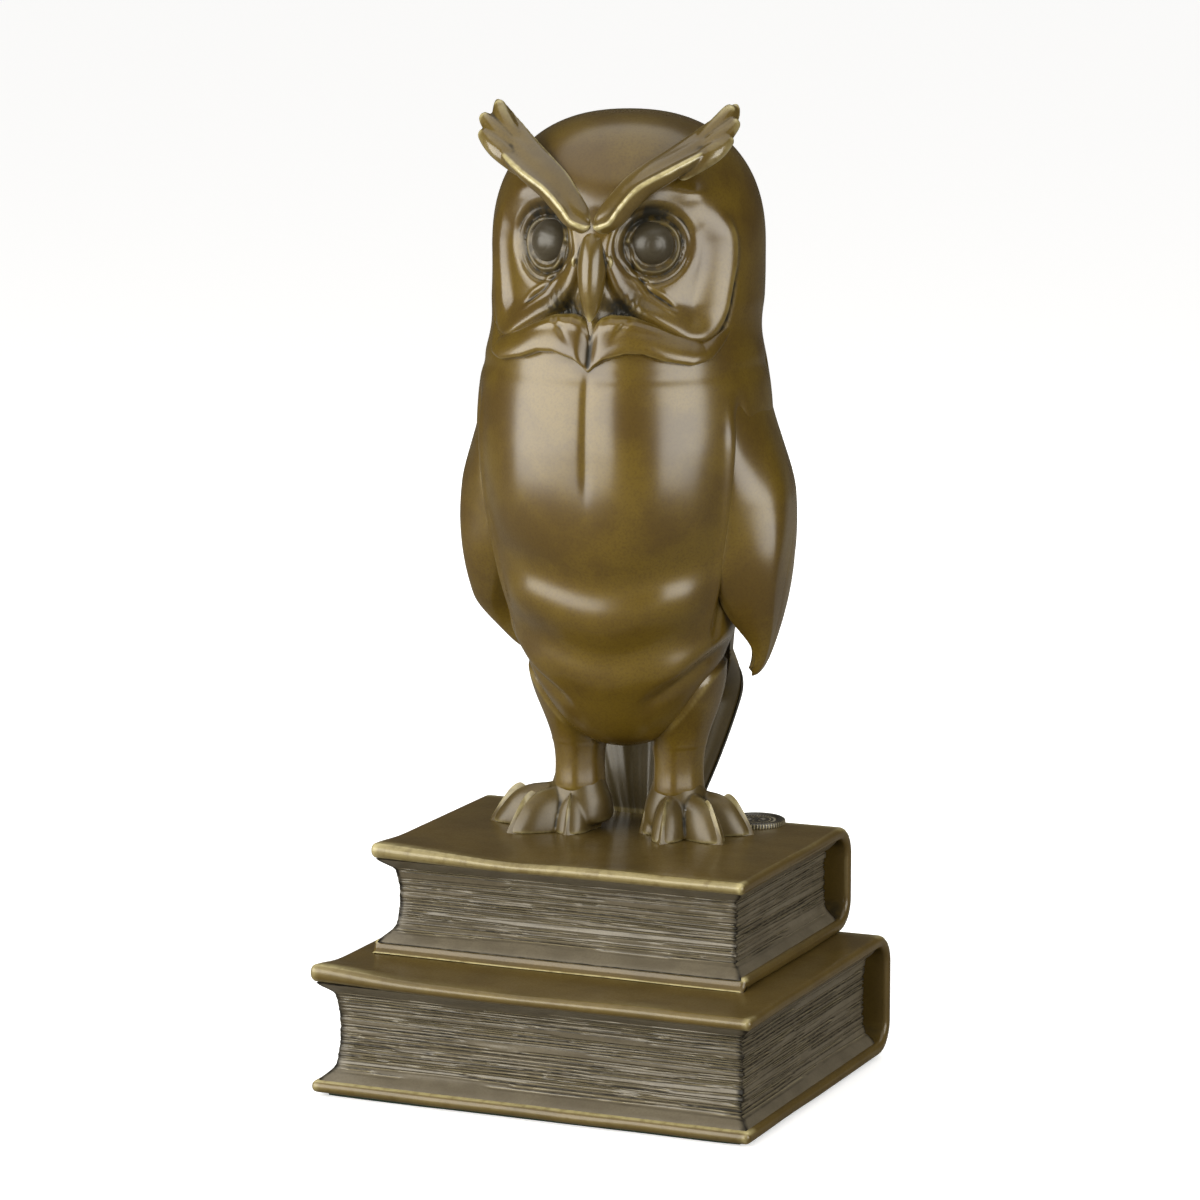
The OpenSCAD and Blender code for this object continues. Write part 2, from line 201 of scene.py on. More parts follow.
def tube_grid(around: int, steps: int) -> bmesh.types.BMesh:
    """Straight tube of unit radius along Z from 0 to 1, made by sweeping a circle.

    Args:
        around: sides of the tube.
        steps: rows of faces along it.

    Returns:
        The mesh, open at both ends.
    """
    bm = bmesh.new()
    bmesh.ops.create_circle(bm, segments=around, radius=1.0)
    bmesh.ops.spin(
        bm, geom=bm.edges[:], cent=(0, 0, 0), axis=(0, 0, 1), angle=0.0,
        dvec=(0, 0, 1.0 / steps), steps=steps, use_merge=False,
    )
    return bm


def ring_grid(around: int, across: int) -> bmesh.types.BMesh:
    """Torus made by spinning a small circle, whose two angles a sculptor maps to any closed band.

    Args:
        around: steps of the full turn.
        across: sides of the section.

    Returns:
        The closed mesh, of radius 3 with a section of radius 1.
    """
    bm = bmesh.new()
    bmesh.ops.create_circle(
        bm, segments=across, radius=1.0,
        matrix=Matrix.Translation((3, 0, 0)) @ Matrix.Rotation(math.pi / 2, 4, "X")
    )
    bmesh.ops.spin(
        bm, geom=bm.edges[:], cent=(0, 0, 0), axis=(0, 0, 1), angle=math.tau,
        steps=around, use_merge=True,
    )
    return bm


def patch_grid(wide: int, tall: int) -> bmesh.types.BMesh:
    """Thin closed plate from 0 to 1 along X and Y, with its front at Z 1 and its back at Z 0."""
    bm = bmesh.new()
    bmesh.ops.create_grid(
        bm, x_segments=wide, y_segments=tall, size=0.5, matrix=Matrix.Translation((0.5, 0.5, 0))
    )
    bmesh.ops.solidify(bm, geom=bm.faces[:], thickness=1.0)
    lift = -min(v.co.z for v in bm.verts)
    bmesh.ops.translate(bm, verts=bm.verts, vec=(0, 0, lift))
    return bm


def coords(bm: bmesh.types.BMesh) -> Array:
    """The places of a mesh's points, one per row."""
    return np.array([v.co for v in bm.verts], float).reshape(-1, 3)


def place(bm: bmesh.types.BMesh, points: Array) -> None:
    """Moves each point of a mesh to its new place."""
    for v, p in zip(bm.verts, points):
        v.co = p


def points_of(mesh: bpy.types.Mesh) -> Array:
    """The places of a finished mesh's points in millimetres, one per row."""
    co = np.empty(len(mesh.vertices) * 3)
    mesh.vertices.foreach_get("co", co)
    return co.reshape(-1, 3) / MM


def soften(bm: bmesh.types.BMesh, rounds: int = 1) -> None:
    """Moves each point halfway to the middle of its neighbours, a few times over."""
    for _ in range(rounds):
        bmesh.ops.smooth_vert(bm, verts=bm.verts, factor=0.5, use_axis_x=True, use_axis_y=True,
                              use_axis_z=True)


def shape_tube(around: int, steps: int, form: Callable[[Array, Array], Array]) -> bmesh.types.BMesh:
    """Tube whose points a function places, closed at both ends.

    Args:
        around: sides of the tube.
        steps: rows of faces along it.
        form: takes the turn (0 to tau) and the share along (0 to 1), and returns the points.

    Returns:
        The closed mesh.
    """
    bm = tube_grid(around, steps)
    p = coords(bm)
    turn = np.arctan2(p[:, 1], p[:, 0]) % math.tau
    place(bm, form(turn, np.clip(p[:, 2], 0, 1)))
    bmesh.ops.remove_doubles(bm, verts=bm.verts, dist=1e-4)
    bmesh.ops.holes_fill(bm, edges=[e for e in bm.edges if e.is_boundary], sides=0)
    bmesh.ops.recalc_face_normals(bm, faces=bm.faces)
    return bm


def shape_patch(wide: int, tall: int, form: Callable[[Array, Array, Array], Array]) -> bmesh.types.BMesh:
    """Closed plate whose points a function places from (u, v, front), each from 0 to 1."""
    bm = patch_grid(wide, tall)
    p = coords(bm)
    place(bm, form(p[:, 0], p[:, 1], (p[:, 2] > 0.5).astype(float)))
    bmesh.ops.recalc_face_normals(bm, faces=bm.faces)
    return bm


def shape_ring(around: int, across: int, form: Callable[[Array, Array], Array]) -> bmesh.types.BMesh:
    """Closed band whose points a function places from its two turns, each from 0 to tau."""
    bm = ring_grid(around, across)
    p = coords(bm)
    turn = np.arctan2(p[:, 1], p[:, 0]) % math.tau
    section = np.arctan2(p[:, 2], np.hypot(p[:, 0], p[:, 1]) - 3.0) % math.tau
    place(bm, form(turn, section))
    bmesh.ops.recalc_face_normals(bm, faces=bm.faces)
    return bm


def swept(centres: Array, widths: Array, heights: Array, up: Array, power: float = 2.0,
          around: int = 28, steps: int = 36) -> bmesh.types.BMesh:
    """Tapered limb along a curve, such as a toe or a feather.

    Args:
        centres: knots of the curve.
        widths: half widths at the knots.
        heights: half heights at the knots.
        up: direction that the heights are measured along.
        power: fullness of the section, 2 for an ellipse and less for a keel.
        around: sides of the limb.
        steps: rows of faces along it.

    Returns:
        The closed mesh.
    """
    knots = np.column_stack([centres, widths, heights])

    def form(turn: Array, t: Array) -> Array:
        """Points of the limb."""
        here, ahead = along(knots, t), along(knots, np.clip(t + 0.01, 0, 1))
        behind = along(knots, np.clip(t - 0.01, 0, 1))
        way = unit(ahead[:, :3] - behind[:, :3])
        across = unit(np.cross(way, np.asarray(up, float)[None, :]))
        over = np.cross(across, way)
        ends = np.sqrt(np.clip(1 - (2 * t - 1) ** 12, 0, 1))
        c, s = np.cos(turn), np.sin(turn)
        cw = np.sign(c) * np.abs(c) ** (2 / power)
        sw = np.sign(s) * np.abs(s) ** (2 / power)
        return (here[:, :3] + across * (cw * here[:, 3] * ends)[:, None]
                + over * (sw * here[:, 4] * ends)[:, None])

    return shape_tube(around, steps, form)


def merged(parts: list[bmesh.types.BMesh]) -> bmesh.types.BMesh:
    """One mesh that holds the loose shells of several; the others are freed."""
    whole = bmesh.new()
    for bm in parts:
        mesh = bpy.data.meshes.new("part")
        bm.to_mesh(mesh)
        whole.from_mesh(mesh)
        bpy.data.meshes.remove(mesh)
        bm.free()
    return whole


def blended(bm: bmesh.types.BMesh, voxel: float, rounds: int = 4) -> bmesh.types.BMesh:
    """Melts overlapping shells into one skin and softens where they meet.

    Args:
        bm: the shells, in millimetres; it is freed.
        voxel: size of the cells of the new skin.
        rounds: how often the skin is smoothed.

    Returns:
        The new mesh.
    """
    mesh = bpy.data.meshes.new("melt")
    bm.to_mesh(mesh)
    bm.free()
    obj = bpy.data.objects.new("melt", mesh)
    bpy.context.scene.collection.objects.link(obj)
    melt = obj.modifiers.new("melt", "REMESH")
    melt.mode = "VOXEL"
    melt.voxel_size = voxel
    melt.adaptivity = 0.0
    deps = bpy.context.evaluated_depsgraph_get()
    done = bmesh.new()
    done.from_object(obj, deps)
    bpy.data.objects.remove(obj)
    bpy.data.meshes.remove(mesh)
    soften(done, rounds)
    return done


# ---------------------------------------------------------------- wear and hollows


def neighbour_mean(values: Array, edges: Array, count: Array) -> Array:
    """Mean of each point's neighbours, for one or three values a point."""
    total = np.zeros_like(values)
    for k in range(values.shape[1]):
        total[:, k] = np.bincount(edges[:, 0], values[edges[:, 1], k], len(values))
        total[:, k] += np.bincount(edges[:, 1], values[edges[:, 0], k], len(values))
    return total / count[:, None]


def proudness(mesh: bpy.types.Mesh, reach: float) -> Array:
    """How far each point stands out of its surroundings, in millimetres, negative in a hollow.

    Args:
        mesh: the finished mesh, in metres.
        reach: radius of the surroundings, in millimetres.

    Returns:
        One value per point.
    """
    co = points_of(mesh)
    edges = np.empty(len(mesh.edges) * 2, np.int32)
    mesh.edges.foreach_get("vertices", edges)
    edges = edges.reshape(-1, 2)
    normals = np.empty(len(mesh.vertices) * 3)
    mesh.vertices.foreach_get("normal", normals)
    count = np.maximum(np.bincount(edges.ravel(), minlength=len(co)), 1)
    spacing = np.median(np.linalg.norm(co[edges[:, 0]] - co[edges[:, 1]], axis=1))
    rounds = int(np.clip((reach / spacing) ** 2, 2, 48))
    soft = co.copy()
    for _ in range(rounds):
        soft = neighbour_mean(soft, edges, count)
    return np.einsum("ij,ij->i", co - soft, normals.reshape(-1, 3))


def store(mesh: bpy.types.Mesh, name: str, values: Array) -> None:
    """Writes one number per point as a named attribute of the mesh."""
    layer = mesh.attributes.get(name) or mesh.attributes.new(name, "FLOAT", "POINT")
    layer.data.foreach_set("value", np.asarray(values, np.float32))


@dataclass(frozen=True)
class Rubbing:
    """How the hand and the polishing cloth have worn a casting's edges, in millimetres of relief."""

    reach: float = 0.9
    bright_from: float = 0.03
    bright_full: float = 0.12
    dark_from: float = 0.02
    dark_full: float = 0.12
    wide_reach: float = 3.0
    wide_from: float = 0.15
    wide_dark: float = 0.6
    joint_z: float | None = None

    def mark(self, mesh: bpy.types.Mesh) -> None:
        """Writes the edge attribute of rubbed wear and the hollow attribute of darker patina and painted shade,
        which the bronze reads.
        """
        near = proudness(mesh, self.reach)
        far = proudness(mesh, self.wide_reach)
        keep = 1.0
        if self.joint_z is not None:
            keep = ease(1.2, 3.2, np.abs(points_of(mesh)[:, 2] - self.joint_z))
        store(mesh, "edge", ease(self.bright_from, self.bright_full, near) * keep)
        deep = np.maximum(ease(self.dark_from, self.dark_full, -near),
                          ease(self.wide_from, self.wide_dark, -far))
        store(mesh, "hollow", deep * keep)


# ---------------------------------------------------------------- node groups


@dataclass(frozen=True)
class Socket:
    """One named socket of a node group."""

    name: str
    kind: str
    default: float | tuple = 0.0


class GroupMaker:
    """Builds one shader node group with named inputs and outputs."""

    def __init__(self, name: str, inputs: list[Socket], outputs: list[Socket]) -> None:
        """Starts an empty group.

        Args:
            name: the group's name.
            inputs: the values that each material sets.
            outputs: what the group works out.
        """
        self.tree = bpy.data.node_groups.new(name, "ShaderNodeTree")
        for direction, sockets in (("INPUT", inputs), ("OUTPUT", outputs)):
            for s in sockets:
                made = self.tree.interface.new_socket(s.name, in_out=direction, socket_type=s.kind)
                if direction == "INPUT":
                    made.default_value = s.default
        self.source = self.tree.nodes.new("NodeGroupInput")
        self.sink = self.tree.nodes.new("NodeGroupOutput")

    def node(self, kind: str, **settings: object) -> bpy.types.Node:
        """Adds a node with some of its properties set."""
        made = self.tree.nodes.new(kind)
        for key, value in settings.items():
            setattr(made, key, value)
        return made

    def link(self, out: bpy.types.NodeSocket, into: bpy.types.NodeSocket) -> None:
        """Joins two sockets."""
        self.tree.links.new(out, into)

    def feed(self, into: bpy.types.NodeSocket, value: object) -> None:
        """Links a socket into another, or sets a plain number or colour on it."""
        if isinstance(value, bpy.types.NodeSocket):
            self.link(value, into)
        else:
            into.default_value = value

    def maths(self, operation: str, a: object, b: object = 0.0,
              clamp: bool = False) -> bpy.types.NodeSocket:
        """One step of arithmetic."""
        made = self.node("ShaderNodeMath", operation=operation, use_clamp=clamp)
        self.feed(made.inputs[0], a)
        self.feed(made.inputs[1], b)
        return made.outputs[0]

    def blend(self, share: object, a: object, b: object, mode: str = "MIX") -> bpy.types.NodeSocket:
        """Mixes two colours."""
        made = self.node("ShaderNodeMix", data_type="RGBA", blend_type=mode)
        self.feed(made.inputs[0], share)
        self.feed(made.inputs[6], a)
        self.feed(made.inputs[7], b)
        return made.outputs[2]

    def spread(self, value: object, low: float, high: float, to_low: float,
               to_high: float) -> bpy.types.NodeSocket:
        """Smoothly maps one range of values to another."""
        made = self.node("ShaderNodeMapRange", interpolation_type="SMOOTHSTEP")
        self.feed(made.inputs[0], value)
        for k, x in enumerate((low, high, to_low, to_high)):
            made.inputs[k + 1].default_value = x
        return made.outputs[0]

    def noise(self, scale: object, detail: float, stretch: Colour = (1, 1, 1)) -> bpy.types.NodeSocket:
        """Grain in the object's own coordinates, per metre."""
        where = self.node("ShaderNodeTexCoord")
        turn = self.node("ShaderNodeMapping")
        turn.inputs["Scale"].default_value = stretch
        self.link(where.outputs["Object"], turn.inputs["Vector"])
        made = self.node("ShaderNodeTexNoise")
        self.link(turn.outputs["Vector"], made.inputs["Vector"])
        self.feed(made.inputs["Scale"], scale)
        made.inputs["Detail"].default_value = detail
        return made.outputs["Fac"]


def new_material(name: str) -> tuple[bpy.types.Material, bpy.types.NodeTree, bpy.types.Node]:
    """A new material, its node tree and its Principled shader."""
    made = bpy.data.materials.new(name)
    made.use_nodes = True
    return made, made.node_tree, made.node_tree.nodes["Principled BSDF"]


def set_sockets(node: bpy.types.Node, **values: object) -> None:
    """Sets plain values on a node's own sockets; an underscore stands for a blank in a label."""
    for label, value in values.items():
        node.inputs[label.replace("_", " ")].default_value = value


def in_scene(name: str, data: bpy.types.ID) -> bpy.types.Object:
    """A new object that holds some data, linked into the scene."""
    obj = bpy.data.objects.new(name, data)
    bpy.context.scene.collection.objects.link(obj)
    return obj


def face_along(obj: bpy.types.Object, way: Vector) -> None:
    """Turns a camera or a light so that it looks along a direction."""
    obj.rotation_mode = "QUATERNION"
    obj.rotation_quaternion = way.to_track_quat("-Z", "Y")


def show_to_lens(tree: bpy.types.NodeTree, hidden: bpy.types.Node, seen: bpy.types.Node,
                 sink: bpy.types.Node) -> None:
    """Gives the lens one shader and every other ray another."""
    path = tree.nodes.new("ShaderNodeLightPath")
    mixer = tree.nodes.new("ShaderNodeMixShader")
    tree.links.new(path.outputs["Is Camera Ray"], mixer.inputs[0])
    tree.links.new(hidden.outputs[0], mixer.inputs[1])
    tree.links.new(seen.outputs[0], mixer.inputs[2])
    tree.links.new(mixer.outputs[0], sink.inputs["Surface"])


def aged_bronze_group() -> bpy.types.NodeTree:
    """Patina, hollows darkened by patina and painted shade, and rubbed edges of cast bronze, as colour,
    roughness and grain.
    """
    rgb, number = "NodeSocketColor", "NodeSocketFloat"
    g = GroupMaker(
        "aged_bronze",
        [
            Socket("Patina", rgb, (0.1, 0.07, 0.02, 1)), Socket("Shade", rgb, (0.05, 0.03, 0.01, 1)),
            Socket("Hollow", rgb, (0.02, 0.02, 0.02, 1)), Socket("Rubbed", rgb, (0.5, 0.4, 0.2, 1)),
            Socket("Rubbing", number, 1.0), Socket("Darkening", number, 1.0),
            Socket("Mottle", number, 0.5), Socket("Roughness", number, 0.3),
            Socket("Blotch size", number, 60.0), Socket("Grain size", number, 1500.0),
            Socket("Wax", number, 1.0),
        ],
        [Socket("Colour", rgb), Socket("Roughness", number), Socket("Height", number), Socket("Wax", number)],
    )
    given = g.source.outputs
    edge = g.node("ShaderNodeAttribute", attribute_name="edge").outputs["Fac"]
    hollow = g.node("ShaderNodeAttribute", attribute_name="hollow").outputs["Fac"]
    blotch = g.noise(given["Blotch size"], 5.0)
    freckle = g.noise(given["Grain size"], 3.0)
    fleck = g.noise(420.0, 4.0)
    clouds = g.spread(blotch, 0.35, 0.68, 0.0, 1.0)
    mottled = g.maths("MULTIPLY", clouds, given["Mottle"], True)
    ground = g.blend(mottled, given["Patina"], given["Shade"])
    speckle = g.maths("MULTIPLY", g.spread(freckle, 0.4, 0.7, 0.0, 0.55), given["Mottle"], True)
    ground = g.blend(speckle, ground, given["Shade"])
    patchy = g.spread(fleck, 0.25, 0.6, 0.45, 1.0)
    # Hollows take the darker patina together with painted shade where shadow falls in them
    patina_and_shade = g.maths("MULTIPLY", g.maths("MULTIPLY", hollow, given["Darkening"]), patchy, True)
    aged = g.blend(patina_and_shade, ground, given["Hollow"])
    bare = g.maths("MULTIPLY", g.maths("MULTIPLY", edge, given["Rubbing"]), patchy, True)
    g.link(g.blend(bare, aged, given["Rubbed"]), g.sink.inputs["Colour"])
    duller = g.maths("ADD", given["Roughness"], g.maths("MULTIPLY", patina_and_shade, 0.22))
    uneven = g.maths("ADD", duller, g.spread(blotch, 0.3, 0.7, -0.03, 0.05))
    g.link(g.maths("ADD", uneven, g.spread(freckle, 0.3, 0.7, -0.02, 0.03), True),
           g.sink.inputs["Roughness"])
    g.link(g.maths("ADD", freckle, g.maths("MULTIPLY", fleck, 0.8)), g.sink.inputs["Height"])
    cover = g.maths("SUBTRACT", 1.0, g.maths("MULTIPLY", patina_and_shade, 0.8), True)
    g.link(g.maths("MULTIPLY", cover, given["Wax"], True), g.sink.inputs["Wax"])
    return g.tree


@dataclass(frozen=True)
class Bronze:
    """One finish of the cast bronze: its colours, how worn it is and how it shines."""

    name: str
    patina: Colour
    shade: Colour
    hollow: Colour
    rubbed: Colour
    rubbing: float = 1.0
    darkening: float = 1.0
    mottle: float = 0.5
    roughness: float = 0.42
    metallic: float = 0.12
    gloss: float = 0.12
    wax: float = 1.0
    wax_roughness: float = 0.2
    wax_ior: float = 1.6
    blotch_size: float = 60.0
    grain_size: float = 1500.0
    grain: float = 0.06

    def material(self, group: bpy.types.NodeTree) -> bpy.types.Material:
        """Builds the material.

        Args:
            group: the shared aged bronze effect.

        Returns:
            A new material with the finish's name.
        """
        made, tree, shader = new_material(self.name)
        effect = tree.nodes.new("ShaderNodeGroup")
        effect.node_tree = group
        set_sockets(effect, Patina=(*self.patina, 1.0), Shade=(*self.shade, 1.0),
                    Hollow=(*self.hollow, 1.0), Rubbed=(*self.rubbed, 1.0), Rubbing=self.rubbing,
                    Darkening=self.darkening, Mottle=self.mottle, Roughness=self.roughness,
                    Blotch_size=self.blotch_size, Grain_size=self.grain_size, Wax=self.wax)
        bump = tree.nodes.new("ShaderNodeBump")
        set_sockets(bump, Strength=self.grain, Distance=BUMP_DEPTH)
        tree.links.new(effect.outputs["Colour"], shader.inputs["Base Color"])
        tree.links.new(effect.outputs["Roughness"], shader.inputs["Roughness"])
        tree.links.new(effect.outputs["Height"], bump.inputs["Height"])
        tree.links.new(bump.outputs["Normal"], shader.inputs["Normal"])
        set_sockets(shader, Metallic=self.metallic, Coat_Roughness=self.wax_roughness,
                    Coat_IOR=self.wax_ior, Specular_IOR_Level=self.gloss)
        tree.links.new(effect.outputs["Wax"], shader.inputs["Coat Weight"])
        return made


@dataclass(frozen=True)
class Baize:
    """Short green felt under the lower book, darkened nearly to black as painted shade so it reads as the shadow
    under the books.
    """

    name: str = "green_baize_painted_shade"
    # Green felt darkened nearly to black: painted shade under the books
    fibre: Colour = (0.012, 0.035, 0.017)
    shadow: Colour = (0.005, 0.016, 0.008)

    def material(self) -> bpy.types.Material:
        """Builds the felt's material, with matted fibres at two sizes."""
        made, tree, shader = new_material(self.name)
        where = tree.nodes.new("ShaderNodeTexCoord")
        fibre = tree.nodes.new("ShaderNodeTexNoise")
        set_sockets(fibre, Scale=2600.0, Detail=4.0, Distortion=1.5)
        tone = tree.nodes.new("ShaderNodeMix")
        tone.data_type = "RGBA"
        tone.inputs[6].default_value = (*self.shadow, 1.0)
        tone.inputs[7].default_value = (*self.fibre, 1.0)
        bump = tree.nodes.new("ShaderNodeBump")
        set_sockets(bump, Strength=0.6, Distance=BUMP_DEPTH)
        tree.links.new(where.outputs["Object"], fibre.inputs["Vector"])
        tree.links.new(fibre.outputs["Fac"], tone.inputs[0])
        tree.links.new(tone.outputs[2], shader.inputs["Base Color"])
        tree.links.new(fibre.outputs["Fac"], bump.inputs["Height"])
        tree.links.new(bump.outputs["Normal"], shader.inputs["Normal"])
        set_sockets(shader, Roughness=0.95, Sheen_Weight=0.4)
        return made


@dataclass(frozen=True)
class TurnedSteel:
    """Zinc-plated steel of the studs, bolts, washers and nuts, with fine turning marks."""

    name: str = "plated_steel"
    bright: Colour = (0.56, 0.57, 0.58)
    dull: Colour = (0.36, 0.36, 0.38)

    def material(self) -> bpy.types.Material:
        """Builds the steel's material."""
        made, tree, shader = new_material(self.name)
        where = tree.nodes.new("ShaderNodeTexCoord")
        stretch = tree.nodes.new("ShaderNodeMapping")
        set_sockets(stretch, Scale=(1.0, 1.0, 12.0))
        grain = tree.nodes.new("ShaderNodeTexNoise")
        set_sockets(grain, Scale=500.0, Detail=3.0)
        tone = tree.nodes.new("ShaderNodeMix")
        tone.data_type = "RGBA"
        tone.inputs[6].default_value = (*self.dull, 1.0)
        tone.inputs[7].default_value = (*self.bright, 1.0)
        rough = tree.nodes.new("ShaderNodeMapRange")
        set_sockets(rough, To_Min=0.28, To_Max=0.5)
        tree.links.new(where.outputs["Object"], stretch.inputs["Vector"])
        tree.links.new(stretch.outputs["Vector"], grain.inputs["Vector"])
        tree.links.new(grain.outputs["Fac"], tone.inputs[0])
        tree.links.new(grain.outputs["Fac"], rough.inputs["Value"])
        tree.links.new(tone.outputs[2], shader.inputs["Base Color"])
        tree.links.new(rough.outputs[0], shader.inputs["Roughness"])
        set_sockets(shader, Metallic=1.0)
        return made


WARM_GOLD = (0.36, 0.28, 0.10)
PALE_GOLD = (0.50, 0.43, 0.21)
# Colour of the hollows: darker patina together with painted shade
HOLLOW_PATINA_AND_SHADE = (0.017, 0.015, 0.010)


class Finishes:
    """Every finish of the object, made once and shared by its pieces."""

    def __init__(self) -> None:
        """Builds the shared effect and the materials."""
        group = aged_bronze_group()
        self.owl = Bronze(
            "waxed_owl_bronze", patina=(0.125, 0.078, 0.0065), shade=(0.056, 0.028, 0.003),
            hollow=HOLLOW_PATINA_AND_SHADE, rubbed=WARM_GOLD, rubbing=0.4, mottle=0.6, wax_roughness=0.24,
        ).material(group)
        self.worn = Bronze(
            "rubbed_brow_bronze", patina=(0.125, 0.082, 0.015), shade=(0.060, 0.036, 0.006),
            hollow=HOLLOW_PATINA_AND_SHADE, rubbed=PALE_GOLD, rubbing=0.85, mottle=0.5,
        ).material(group)
        self.dark = Bronze(
            "dark_bronze", patina=(0.052, 0.042, 0.024), shade=(0.030, 0.022, 0.011),
            hollow=(0.012, 0.011, 0.009), rubbed=(0.24, 0.20, 0.11), rubbing=0.4, mottle=0.6,
            wax=0.6, wax_roughness=0.32,
        ).material(group)
        self.foot = Bronze(
            "foot_bronze", patina=(0.092, 0.062, 0.016), shade=(0.046, 0.029, 0.007),
            hollow=HOLLOW_PATINA_AND_SHADE, rubbed=PALE_GOLD, rubbing=0.4, mottle=0.55, wax=0.6, wax_roughness=0.32,
        ).material(group)
        # Painted shade: the tail's bronze is darker than the owl's to stand for the shade the tail sits in
        self.tail = Bronze(
            "tail_bronze_painted_shade", patina=(0.062, 0.044, 0.014), shade=(0.030, 0.020, 0.006),
            hollow=HOLLOW_PATINA_AND_SHADE, rubbed=WARM_GOLD, rubbing=0.4, mottle=0.6, wax=0.8, wax_roughness=0.28,
        ).material(group)
        self.cover = Bronze(
            "cover_bronze", patina=(0.108, 0.070, 0.015), shade=(0.064, 0.040, 0.009),
            hollow=(0.022, 0.018, 0.010), rubbed=PALE_GOLD, rubbing=0.8, mottle=0.5,
            wax=0.8, wax_roughness=0.24, wax_ior=1.5,
        ).material(group)
        self.pages = Bronze(
            "page_bronze", patina=(0.140, 0.117, 0.078), shade=(0.086, 0.070, 0.045),
            hollow=(0.010, 0.008, 0.005), rubbed=(0.33, 0.28, 0.17), rubbing=0.75, mottle=0.6,
            wax=0.6, wax_roughness=0.34, wax_ior=1.6, blotch_size=110.0,
        ).material(group)
        self.seal = Bronze(
            "seal_bronze", patina=(0.052, 0.042, 0.024), shade=(0.030, 0.023, 0.012),
            hollow=(0.014, 0.012, 0.008), rubbed=(0.48, 0.41, 0.24), rubbing=1.0, mottle=0.5,
        ).material(group)
        self.steel = TurnedSteel().material()
        self.baize = Baize().material()


# ---------------------------------------------------------------- pieces


class Workshop:
    """Turns finished meshes into pieces of the object, and keeps count of them."""

    def __init__(self, finishes: Finishes) -> None:
        """Keeps the finishes that pieces are dressed in."""
        self.finishes = finishes
        self.made: list[bpy.types.Object] = []

    def piece(self, name: str, bm: bmesh.types.BMesh, material: bpy.types.Material, slot: str,
              nodes: tuple[str, ...], rubbing: Rubbing | None = Rubbing(),
              sharp: float = 60.0) -> bpy.types.Object:
        """Writes a mesh in millimetres as a piece that stands for some frame nodes.

        Args:
            name: the piece's name.
            bm: its mesh in the frame's axes; it is freed.
            material: its finish.
            slot: the record's slot that the finish belongs to; it is not used.
            nodes: the frame nodes that it replaces.
            rubbing: how its edges are worn, or None for no wear.
            sharp: angle in degrees over which an edge stays crisp.

        Returns:
            The new object.
        """
        bmesh.ops.scale(bm, vec=(MM, MM, MM), verts=bm.verts)
        mesh = bpy.data.meshes.new(name)
        for face in bm.faces:
            face.smooth = True
        bm.to_mesh(mesh)
        bm.free()
        if rubbing:
            rubbing.mark(mesh)
        mesh.set_sharp_from_angle(angle=math.radians(sharp))
        mesh.materials.append(material)
        obj = bpy.data.objects.new(name, mesh)
        bpy.context.scene.collection.objects.link(obj)
        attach(obj, BODY)
        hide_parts(*nodes)
        self.made.append(obj)
        mesh.calc_loop_triangles()
        LOG.info("%s: %d triangles for %s", name, len(mesh.loop_triangles), ", ".join(nodes))
        return obj


# ---------------------------------------------------------------- the owl's body


